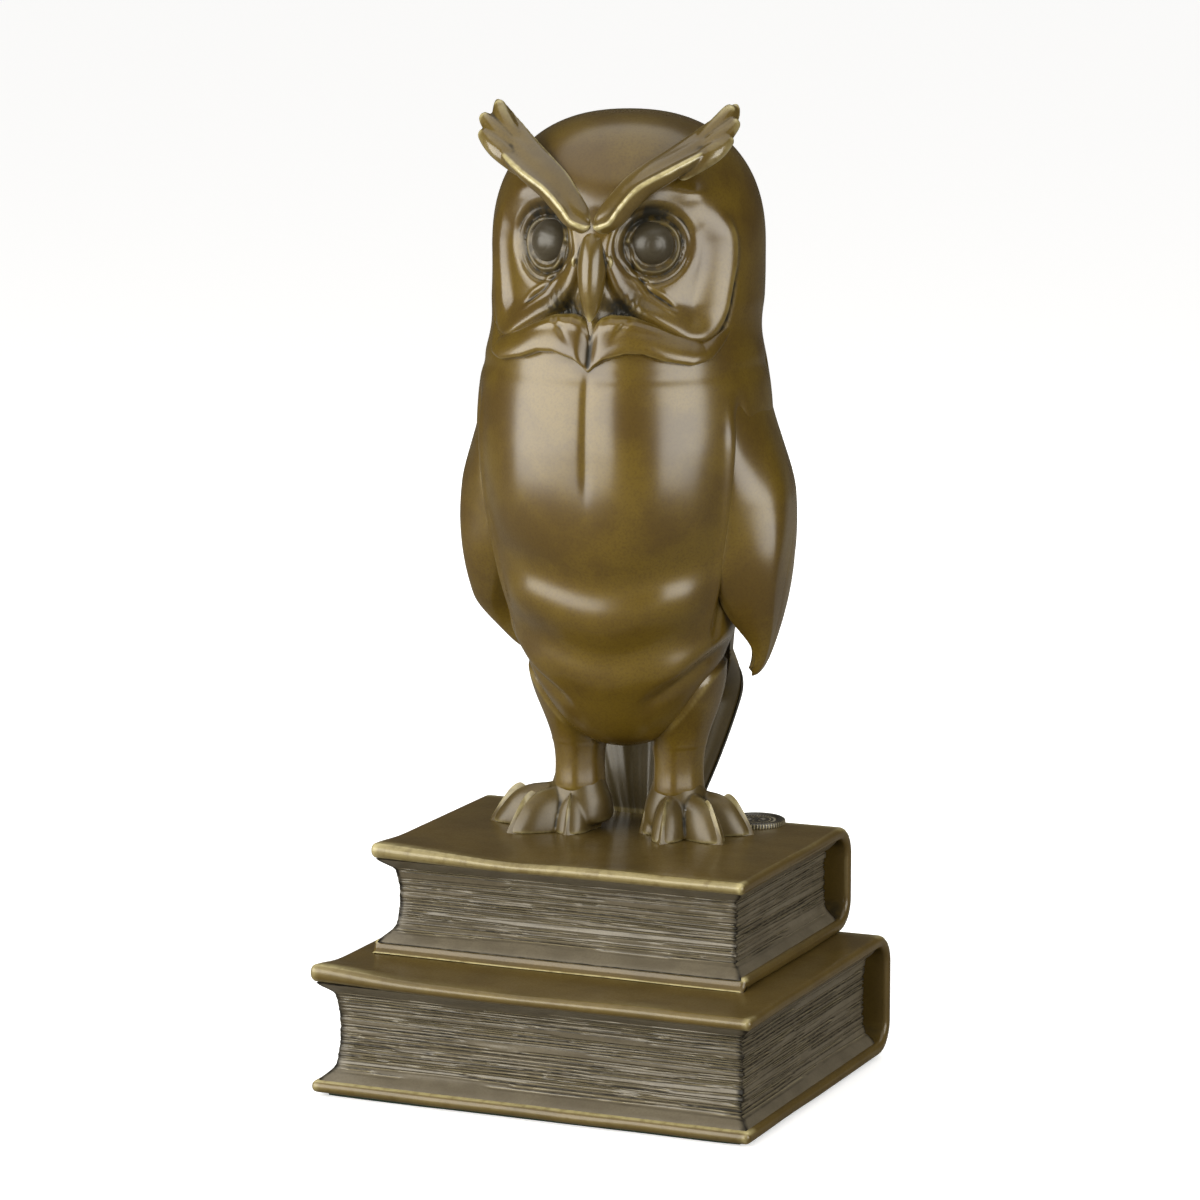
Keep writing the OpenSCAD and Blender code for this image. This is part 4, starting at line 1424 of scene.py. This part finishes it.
@dataclass
class Foot:
    """One foot of four spread toes with long keeled claws."""

    form: OwlForm
    side: Side
    ankle_x: float = 14.8
    ankle_h: float = 17.0
    voxel: float = 0.42

    def claw_tips(self) -> list[tuple[float, float]]:
        """Where the claws touch the book, outermost first, in the owl's own axes."""
        if self.side is Side.LEFT:
            return [(37.0, 2.4), (31.6, -13.2), (14.2, -17.6), (4.4, -4.4)]
        return [(-42.2, 1.0), (-32.4, -15.0), (-15.2, -13.4), (-9.0, -2.4)]

    def tent(self, root: Array, tip: Array, floor: float, shares: Array, widths: Array, heights: Array,
             fullness: Array, steps: int) -> bmesh.types.BMesh:
        """Limb that lies on the book, with a section between a round hump and a sharp-ridged tent.

        Args:
            root: the ankle's centre.
            tip: where the limb ends on the book.
            floor: the book's height.
            shares: knots along the way from root to tip.
            widths: half widths at the knots.
            heights: heights at the knots.
            fullness: 0 for a tent and 1 for a hump, at the knots.
            steps: rows of faces along it.

        Returns:
            The closed mesh.
        """
        way = tip - root
        side = np.array([-way[1], way[0]]) / np.linalg.norm(way)

        def shape(turn: Array, t: Array) -> Array:
            """Points of the limb."""
            knots = along(np.column_stack([shares, widths, heights, fullness]), t)
            share, w, h, full = knots.T
            c, sn = np.cos(turn), np.sin(turn)
            tent, round_top = 1 - np.abs(c), np.abs(sn)
            z = np.where(sn > 0, h * mix(tent, round_top, full), 0.0)
            xy = root + share[:, None] * way + (w * c)[:, None] * side
            return np.column_stack([xy, floor + z])

        return shape_tube(48, steps, shape)

    def toe(self, root: Array, tip: Array, floor: float) -> bmesh.types.BMesh:
        """One toe from the ankle to its claw."""
        return self.tent(root, tip, floor, np.array([0, 0.3, 0.55, 0.72, 0.86, 0.95]),
                         np.array([7.0, 5.5, 4.9, 4.3, 3.1, 1.2]), np.array([15.0, 12.8, 11.6, 9.4, 5.2, 1.6]),
                         np.array([1.0, 1.0, 0.95, 0.8, 0.6, 0.4]), 44)

    def claw(self, root: Array, tip: Array, floor: float) -> bmesh.types.BMesh:
        """The sharp ridge of one claw, with flat flanks down to the book."""
        return self.tent(root, tip, floor, np.array([0.58, 0.66, 0.76, 0.87, 0.96, 1.0]),
                         np.array([0.5, 1.5, 2.6, 2.3, 1.0, 0.25]), np.array([10.6, 11.8, 10.2, 6.2, 2.2, 0.3]),
                         np.array([0.1, 0.0, 0.0, 0.0, 0.0, 0.0]), 40)

    def build(self, shop: Workshop) -> None:
        """Makes the foot: toes melted into the ankle, then the crisp claws over them."""
        f, s = self.form, self.side.value
        root = np.array([self.ankle_x * s, 0.0])
        z = f.book_z
        parts, claws = [], []
        for tip in self.claw_tips():
            parts.append(self.toe(root, np.array(tip), z))
            claws.append(self.claw(root, np.array(tip), z))
        ankle = [(*root, z + 1.0), (*root, z + 8.0), (*root, z + 13.0), (*root, z + self.ankle_h + 2)]
        parts.append(swept(ankle, [10.4, 9.6, 7.9, 6.2], [9.8, 9.0, 7.7, 6.2], up=(0, -1, 0), around=48,
                           steps=24))
        skin = blended(merged(parts), self.voxel, rounds=5)
        bm = merged([skin, *claws])
        p = coords(bm)
        p[:, 2] = np.maximum(p[:, 2], z - 0.05)
        place(bm, p)
        name = f"foot_{self.side.word}"
        rub = Rubbing(reach=1.2, bright_from=0.1, bright_full=0.4, dark_from=0.05, dark_full=0.25,
                      wide_reach=4.0)
        shop.piece(name, f.turned(bm), shop.finishes.foot, "foot_bronze", (name,), rub)


# ---------------------------------------------------------------- the books


@dataclass
class Book:
    """One closed book: a bent cover and a block of pages set back inside it."""

    name: str
    seed: int
    curl: float
    footed: bool = False
    board: float = 3.6
    spine_r: float = 9.0
    inset: float = 4.0
    hollow: float = 4.5
    wall: float = 3.5
    flare: float = 2.6
    fillet: float = 4.5
    columns: int = 96
    low: Array = field(init=False)
    high: Array = field(init=False)

    def __post_init__(self) -> None:
        """Takes the book's box from the frame."""
        self.low, self.high = box_mm(f"{self.name}_cover")

    def profile(self) -> Array:
        """Closed outline of the cover seen from its end, as (depth, height), fore edge first."""
        front, back = self.low[1], self.high[1]
        bottom, top = self.low[2], self.high[2]
        b, r = self.board, self.spine_r

        def arc(cy: float, cz: float, radius: float, start: float, stop: float, count: int) -> list:
            """Points of an arc, angles in degrees."""
            a = np.radians(np.linspace(start, stop, count))
            return list(np.column_stack([cy + radius * np.cos(a), cz + radius * np.sin(a)]))

        def line(y0: float, z0: float, y1: float, z1: float, count: int) -> list:
            """Points between two corners, without the corners."""
            t = np.linspace(0, 1, count + 2)[1:-1]
            return list(np.column_stack([mix(y0, y1, t), mix(z0, z1, t)]))

        half = b / 2
        points = arc(front + half, bottom + half, half, 90, 270, 13)
        if self.footed:
            points = list(along(np.array([
                (front + 3.2, bottom + b), (front + 2.4, bottom + b * 0.86), (front + 1.9, bottom + b * 0.55),
                (front + 1.4, bottom + b * 0.3), (front + 0.5, bottom + b * 0.12), (front, bottom),
            ]), np.linspace(0, 1, 13)))
        points += line(front + half, bottom, back - r, bottom, 40)
        points += arc(back - r, bottom + r, r, 270, 360, 14)
        points += line(back, bottom + r, back, top - r, 12)
        points += arc(back - r, top - r, r, 0, 90, 14)
        points += line(back - r, top, front + half, top, 40)
        points += arc(front + half, top - half, half, 90, 270, 13)
        inner = r - b
        points += line(front + half, top - b, back - r, top - b, 40)
        points += arc(back - r, top - r, inner, 90, 0, 12)
        points += line(back - b, top - r, back - b, bottom + r, 12)
        points += arc(back - r, bottom + r, inner, 0, -90, 12)
        points += line(back - r, bottom + b, front + half, bottom + b, 40)
        return np.array(points)

    def bend(self, p: Array) -> Array:
        """Curls the boards' free corners and gives their edges a hand-modelled waver."""
        mid = (self.low[2] + self.high[2]) / 2
        tall = self.high[2] - self.low[2]
        side = np.sign(p[:, 2] - mid)
        lift = np.clip((np.abs(p[:, 2] - mid) - tall / 2 + self.board + 1.5) / (self.board + 1.5), 0, 1)
        to_front = ease(self.low[1] + 26, self.low[1], p[:, 1])
        to_left = ease(self.low[0] + 34, self.low[0], p[:, 0])
        to_right = ease(self.high[0] - 24, self.high[0], p[:, 0])
        shape = np.where(side > 0, self.curl, 0.15) * to_left * to_front**2
        sag = -0.5 * to_front * hump(p[:, 0], mix(self.low[0], self.high[0], 0.42), 26) * (side > 0)
        waver = 0.35 * lattice_noise(p * [1, 1, 0.2], 17.0, self.seed) * to_front + 0.10 * to_right
        out = p.copy()
        out[:, 2] += lift * (shape + sag + np.where(side > 0, waver, 0.3 * waver))
        bow = lattice_noise(p * [1, 0.4, 0.3] + 7.0, 21.0, self.seed + 3)
        out[:, 1] += 0.45 * bow * ease(self.low[1] + 14, self.low[1], p[:, 1]) * lift
        out[:, 0] += 0.5 * lattice_noise(p * [0.2, 1, 0.5], 23.0, self.seed + 5) * lift * ease(
            self.low[0] + 30, self.high[0], p[:, 0])
        out[:, 2] = np.maximum(out[:, 2], self.low[2])
        return out

    def cover(self, shop: Workshop, slot: str) -> None:
        """Makes the cover by sweeping its outline along the book's width."""
        outline = self.profile()
        count = len(outline)
        step = np.roll(outline, -1, axis=0) - np.roll(outline, 1, axis=0)
        inward = unit(np.column_stack([step[:, 1], -step[:, 0]]))
        area = np.sum(outline[:, 0] * np.roll(outline[:, 1], -1) - np.roll(outline[:, 0], -1) * outline[:, 1])
        inward = inward * (-1 if area > 0 else 1)
        edge_r = 1.5
        x0, x1 = self.low[0], self.high[0]

        def shape(turn: Array, t: Array) -> Array:
            """Points of the cover, with rounded ends."""
            k = np.rint(turn / math.tau * count).astype(int) % count
            row = t * (self.columns + 10)
            a = np.clip(row / 5, 0, 1) * math.pi / 2
            b = np.clip((self.columns + 10 - row) / 5, 0, 1) * math.pi / 2
            shrink = edge_r * (1 - np.minimum(np.sin(a), np.sin(b)))
            run = np.clip((row - 5) / self.columns, 0, 1)
            x = mix(x0 + edge_r, x1 - edge_r, run) - edge_r * np.cos(a) + edge_r * np.cos(b)
            yz = outline[k] + inward[k] * shrink[:, None]
            return self.bend(np.column_stack([x, yz]))

        bm = shape_tube(count, self.columns + 10, shape)
        rub = Rubbing(reach=2.2, bright_from=0.08, bright_full=0.30, dark_from=0.06, dark_full=0.3)
        shop.piece(f"{self.name}_cover", bm, shop.finishes.cover, slot, (f"{self.name}_cover",), rub)

    def grooves(self, run: Array, height: Array, tall: float) -> Array:
        """Depth of the leaves' edges, as broken scratches that run along the block.

        Args:
            run: distance round the block.
            height: height from the block's bottom.
            tall: the block's height.

        Returns:
            The depth of each point under the block's face.
        """
        rng = np.random.default_rng(self.seed)
        cut = np.zeros(len(run))
        for _ in range(150):
            level = rng.uniform(2.8, tall - 2.8)
            wave, phase = rng.uniform(70, 180), rng.uniform(0, math.tau)
            start, length = rng.uniform(-60, 330), rng.uniform(25, 170)
            deep, wide = rng.uniform(0.3, 0.75), rng.uniform(0.16, 0.24)
            line = level + 0.15 * np.sin(run / wave * math.tau + phase) + 0.03 * np.sin(run / 7.0 + phase)
            reach = ease(start, start + 3, run) * (1 - ease(start + length - 5, start + length, run))
            cut = np.maximum(cut, deep * np.exp(-(((height - line) / wide) ** 2)) * reach)
        return cut

    def pages(self, shop: Workshop, slot: str) -> None:
        """Makes the page block as a hollow frame, with its leaves cut into the three open sides."""
        x0, x1 = self.low[0] + self.inset, self.high[0] - self.inset
        y0, y1 = self.low[1] + self.inset, self.high[1] - self.spine_r
        z0, z1 = self.low[2] + self.board - 0.6, self.high[2] - self.board + 0.2
        wide, deep, tall = x1 - x0, y1 - y0, z1 - z0
        total = 2 * (wide + deep)
        corners = np.cumsum([0, deep, wide, deep, wide])
        inner_rows, outer_rows, lid_rows = 4, 150, 5
        rows = inner_rows + outer_rows + 2 * lid_rows
        around = 420

        def shape(turn: Array, section: Array) -> Array:
            """Points of the frame; the run goes left side, fore edge, right side, spine."""
            run = turn / math.tau * total
            k = np.rint(section / math.tau * rows).astype(int) % rows
            out_v = np.clip((k - lid_rows) / outer_rows, 0, 1)
            is_out = (k >= lid_rows) & (k <= lid_rows + outer_rows)
            lid_low = k < lid_rows
            inner = k >= 2 * lid_rows + outer_rows
            v = np.where(is_out, out_v, np.where(lid_low, 0.0, 1.0))
            v = np.where(inner, 1 - (k - 2 * lid_rows - outer_rows + 1) / (inner_rows + 1), v)
            lid_inset = np.where(lid_low, 1 - k / lid_rows, (k - lid_rows - outer_rows) / lid_rows)
            inset = np.where(is_out, 0.0, lid_inset)
            inset = np.where(inner, 1.0, inset) * (self.wall + self.hollow)
            height = v * tall
            bow = (1 - np.abs(2 * v - 1) ** 2.4) * is_out
            on_left, on_fore = run < corners[1], (run >= corners[1]) & (run < corners[2])
            on_right = (run >= corners[2]) & (run < corners[3])
            cut = self.grooves(run, height, tall) * is_out * (run < corners[3] + 1)
            cut = cut * (1 - 0.9 * hump(run, corners[1], 2.5)) * (1 + 0.4 * hump(run, corners[2], 6))
            places = np.column_stack([run, height * 6, run * 0])
            ruffle = 0.08 * lattice_noise(places, 6.0, self.seed + 11) * is_out
            rise = 1 - ease(0, self.fillet, height) + ease(tall - self.fillet, tall, height)
            flare = self.flare * rise * is_out
            flare = flare + self.flare * ~is_out * ~inner
            back = cut + ruffle + inset - flare
            # The fore edge is hollowed all along, and each end a little
            fore_y = y0 + self.hollow * bow + back
            left_x, right_x = x0 + 1.3 * bow + back, x1 - 1.3 * bow - back
            y_run_left = y1 - inset - (run - 0) / deep * (y1 - inset - fore_y)
            x_run_fore = left_x + (run - corners[1]) / wide * (right_x - left_x)
            y_run_right = fore_y + (run - corners[2]) / deep * (y1 - inset - fore_y)
            x_run_back = right_x - (run - corners[3]) / wide * (right_x - left_x)
            x = np.where(on_left, left_x,
                         np.where(on_fore, x_run_fore, np.where(on_right, right_x, x_run_back)))
            y = np.where(on_left, y_run_left,
                         np.where(on_fore, fore_y, np.where(on_right, y_run_right, y1 - inset)))
            return np.column_stack([x, y, z0 + height])

        bm = shape_ring(around, rows, shape)
        rub = Rubbing(reach=0.7, bright_from=0.05, bright_full=0.22, dark_from=0.012, dark_full=0.08,
                      wide_from=0.6, wide_dark=1.8)
        shop.piece(f"{self.name}_pages", bm, shop.finishes.pages, slot, (f"{self.name}_pages",), rub,
                   sharp=80)

    def build(self, shop: Workshop) -> None:
        """Makes the cover and the pages."""
        self.cover(shop, "cover_bronze")
        self.pages(shop, "page_bronze")


@dataclass
class Base:
    """What else belongs to the stand: the felt under the books, the round seal and the fixings."""

    felt_trim: float = 0.6
    fixing_nodes: tuple[str, ...] = ("foot_studs", "foot_washers", "foot_nuts", "book_bolts",
                                     "book_washers", "book_nuts")

    def seal(self, shop: Workshop) -> None:
        """Makes the blank round seal by spinning its section, with a milled rim and a beaded ring."""
        low, high = box_mm("foundry_seal")
        centre = (low[:2] + high[:2]) / 2
        r, top = (high[0] - low[0]) / 2, high[2]
        book = box_mm("upper_book_cover")[1][2]
        section = spline(np.array([
            (0.01, top - 0.35), (r * 0.25, top - 0.3), (r * 0.5, top - 0.42), (r * 0.72, top - 0.45),
            (r * 0.8, top - 0.1), (r * 0.86, top), (r * 0.93, top - 0.02), (r * 0.985, top - 0.3),
            (r, mix(book, top, 0.5)), (r * 0.99, book + 0.05), (r * 0.9, book - 0.3), (0.01, book - 0.3),
        ]), 90)
        bm = bmesh.new()
        chain = [bm.verts.new((x, 0, z)) for x, z in section]
        for a, b in zip(chain[:-1], chain[1:]):
            bm.edges.new((a, b))
        bmesh.ops.spin(bm, geom=bm.verts[:] + bm.edges[:], cent=(0, 0, 0), axis=(0, 0, 1), angle=math.tau,
                       steps=240, use_merge=True)
        p = coords(bm)
        turn, away = np.arctan2(p[:, 1], p[:, 0]), np.hypot(p[:, 0], p[:, 1]) / r
        upper = p[:, 2] > mix(book, top, 0.5)
        p[:, 2] += upper * 0.12 * np.cos(turn * 40) * hump(away, 0.64, 0.05)
        p[:, 2] += (upper * 0.10 * hump(away, 0.5, 0.025)
                    + upper * 0.14 * np.cos(turn * 8) * hump(away, 0.27, 0.12))
        p[:, :2] *= (1 + 0.008 * np.cos(turn * 60) * hump(away, 1.0, 0.03))[:, None]
        p[:, :2] += centre
        place(bm, p)
        bmesh.ops.remove_doubles(bm, verts=bm.verts, dist=0.02)
        bmesh.ops.recalc_face_normals(bm, faces=bm.faces)
        rub = Rubbing(reach=0.5, bright_from=0.015, bright_full=0.06, dark_from=0.02, dark_full=0.08)
        shop.piece("seal", bm, shop.finishes.seal, "seal_bronze", ("foundry_seal",), rub)

    def felt(self, shop: Workshop) -> None:
        """Makes the felt sheet with rounded corners and a slightly uneven cut edge."""
        low, high = box_mm("felt_pad")
        size = high - low
        wide, deep = size[0] - self.felt_trim, size[1] - self.felt_trim
        bm = bmesh.new()
        bmesh.ops.create_grid(bm, x_segments=90, y_segments=70, size=0.5)
        bmesh.ops.solidify(bm, geom=bm.faces[:], thickness=1.0)
        p = coords(bm)
        p[:, 2] -= p[:, 2].min()
        x, y = 2 * p[:, 0], 2 * p[:, 1]
        pull = 1 - 0.012 * (np.abs(x) ** 12) * (np.abs(y) ** 12)
        cut = 0.25 * lattice_noise(np.column_stack([p[:, 0] * 100, p[:, 1] * 100, 0 * x]), 9.0, 5)
        p[:, 0] = (low[0] + high[0]) / 2 + x / 2 * wide * pull + cut * (np.abs(x) > 0.99)
        p[:, 1] = (low[1] + high[1]) / 2 + y / 2 * deep * pull + cut * (np.abs(y) > 0.99)
        p[:, 2] = low[2] + p[:, 2] * (size[2] - 0.04)
        place(bm, p)
        bmesh.ops.recalc_face_normals(bm, faces=bm.faces)
        felt = shop.piece("felt", bm, shop.finishes.baize, "felt", ("felt_pad",), None, sharp=40)

    def fixings(self, shop: Workshop) -> None:
        """Gives the studs, bolts, washers and nuts their plated steel."""
        for name in self.fixing_nodes:
            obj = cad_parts[name]
            obj.data.materials.clear()
            obj.data.materials.append(shop.finishes.steel)
            LOG.info("%s: plated steel on the frame's own node", name)

    def build(self, shop: Workshop) -> None:
        """Makes the stand's small pieces."""
        self.seal(shop)
        self.felt(shop)
        self.fixings(shop)


# ---------------------------------------------------------------- studio


@dataclass
class Studio:
    """Pale floor, three soft lights and the camera."""

    azimuth: float = 23.54
    elevation: float = 10.0
    distance: float = 1.419
    aim: tuple[float, float, float] = (-0.00173, 0.0, 0.1386)
    lens: float = 150.0
    walls: float = 0.05
    backdrop: float = 0.92
    overhead: float = 1.5
    overhead_spread: float = 85.0
    floor_half: float = 6.0
    lit_height: float = 0.16
    box_tint: Colour = (1.0, 0.99, 0.94)

    def camera(self) -> None:
        """Stands the camera a little to the owl's left, slightly above it."""
        a, e = math.radians(self.azimuth), math.radians(self.elevation)
        back = Vector((math.sin(a) * math.cos(e), -math.cos(a) * math.cos(e), math.sin(e)))
        data = bpy.data.cameras.new("camera")
        data.lens, data.sensor_width = self.lens, 36.0
        obj = in_scene("camera", data)
        obj.location = Vector(self.aim) + back * self.distance
        face_along(obj, -back)
        bpy.context.scene.camera = obj

    def light(self, name: str, bearing: float, height: float, away: float, size: tuple[float, float],
              power: float, colour: Colour, glossy: bool = True) -> None:
        """Adds one softbox that faces the owl.

        Args:
            name: its name.
            bearing: degrees to the right of the camera, seen from the owl.
            height: its centre's height in metres.
            away: its distance from the owl in metres.
            size: its width and height in metres.
            power: its power in watts.
            colour: its tint.
            glossy: whether it shows in reflections.
        """
        a = math.radians(self.azimuth + bearing)
        data = bpy.data.lights.new(name, "AREA")
        data.shape, data.size, data.size_y = "RECTANGLE", size[0], size[1]
        data.energy, data.color = power, colour
        obj = in_scene(name, data)
        obj.location = (math.sin(a) * away, -math.cos(a) * away, height)
        face_along(obj, Vector((0, 0, self.lit_height)) - Vector(obj.location))
        obj.visible_camera = False
        obj.visible_glossy = glossy

    def floor(self) -> None:
        """Lays the floor: pale paper to the lens, muted in the reflections on the bronze."""
        bm = bmesh.new()
        bmesh.ops.create_grid(bm, x_segments=8, y_segments=8, size=self.floor_half)
        mesh = bpy.data.meshes.new("floor")
        bm.to_mesh(mesh)
        bm.free()
        paper, tree, pale = new_material("paper")
        set_sockets(pale, Base_Color=(0.9, 0.9, 0.9, 1), Roughness=0.9, Emission_Color=(1, 1, 1, 1),
                    Emission_Strength=0.5)
        muted = tree.nodes.new("ShaderNodeBsdfDiffuse")
        set_sockets(muted, Color=(0.20, 0.185, 0.16, 1))
        show_to_lens(tree, muted, pale, tree.nodes["Material Output"])
        mesh.materials.append(paper)
        obj = in_scene("floor", mesh)

    def room(self) -> None:
        """Makes the room: a pale backdrop that the lens sees, and dim walls around the lights."""
        world = bpy.data.worlds.new("studio")
        world.use_nodes = True
        tree = world.node_tree
        walls = tree.nodes["Background"]
        set_sockets(walls, Color=(1, 0.98, 0.95, 1), Strength=self.walls)
        paper = tree.nodes.new("ShaderNodeBackground")
        set_sockets(paper, Color=(1, 1, 1, 1), Strength=self.backdrop)
        show_to_lens(tree, walls, paper, tree.nodes["World Output"])
        bpy.context.scene.world = world
        bpy.context.scene.view_settings.view_transform = "Standard"

    def ceiling(self) -> None:
        """Adds the broad light from above that keeps the floor pale."""
        data = bpy.data.lights.new("ceiling", "SUN")
        data.energy, data.angle = self.overhead, math.radians(self.overhead_spread)
        data.color = (1.0, 0.99, 0.97)
        in_scene("ceiling", data).location = (0, 0, 2)

    def build(self) -> None:
        """Sets the whole studio up."""
        self.room()
        self.camera()
        self.floor()
        self.ceiling()
        self.light("softbox_left", -57, 0.27, 0.95, (1.45, 1.05), 25.0, self.box_tint)
        self.light("softbox_right", 46, 0.27, 1.0, (0.7, 0.85), 9.5, self.box_tint)
        self.light("softbox_back", 176, 0.7, 1.15, (1.0, 0.8), 8.0, (1.0, 0.99, 0.96), glossy=False)


def main() -> None:
    """Builds the object piece by piece and reports each one."""
    logging.basicConfig(level=logging.INFO, format="%(message)s", stream=sys.stdout)
    shop = Workshop(Finishes())
    form = OwlForm()
    Studio().build()
    Book("lower_book", seed=11, curl=1.9).build(shop)
    Book("upper_book", seed=23, curl=1.2, footed=True).build(shop)
    Base().build(shop)
    OwlBody(form).build(shop)
    NeckRuff(form).build(shop)
    Beak(form).build(shop)
    Tail(form).build(shop)
    for side in Side:
        for part in (Brow, Eye, Wing, Leg, Foot):
            part(form, side).build(shop)
    LOG.info("%d pieces", len(shop.made))


if __name__ == "__main__":
    main()
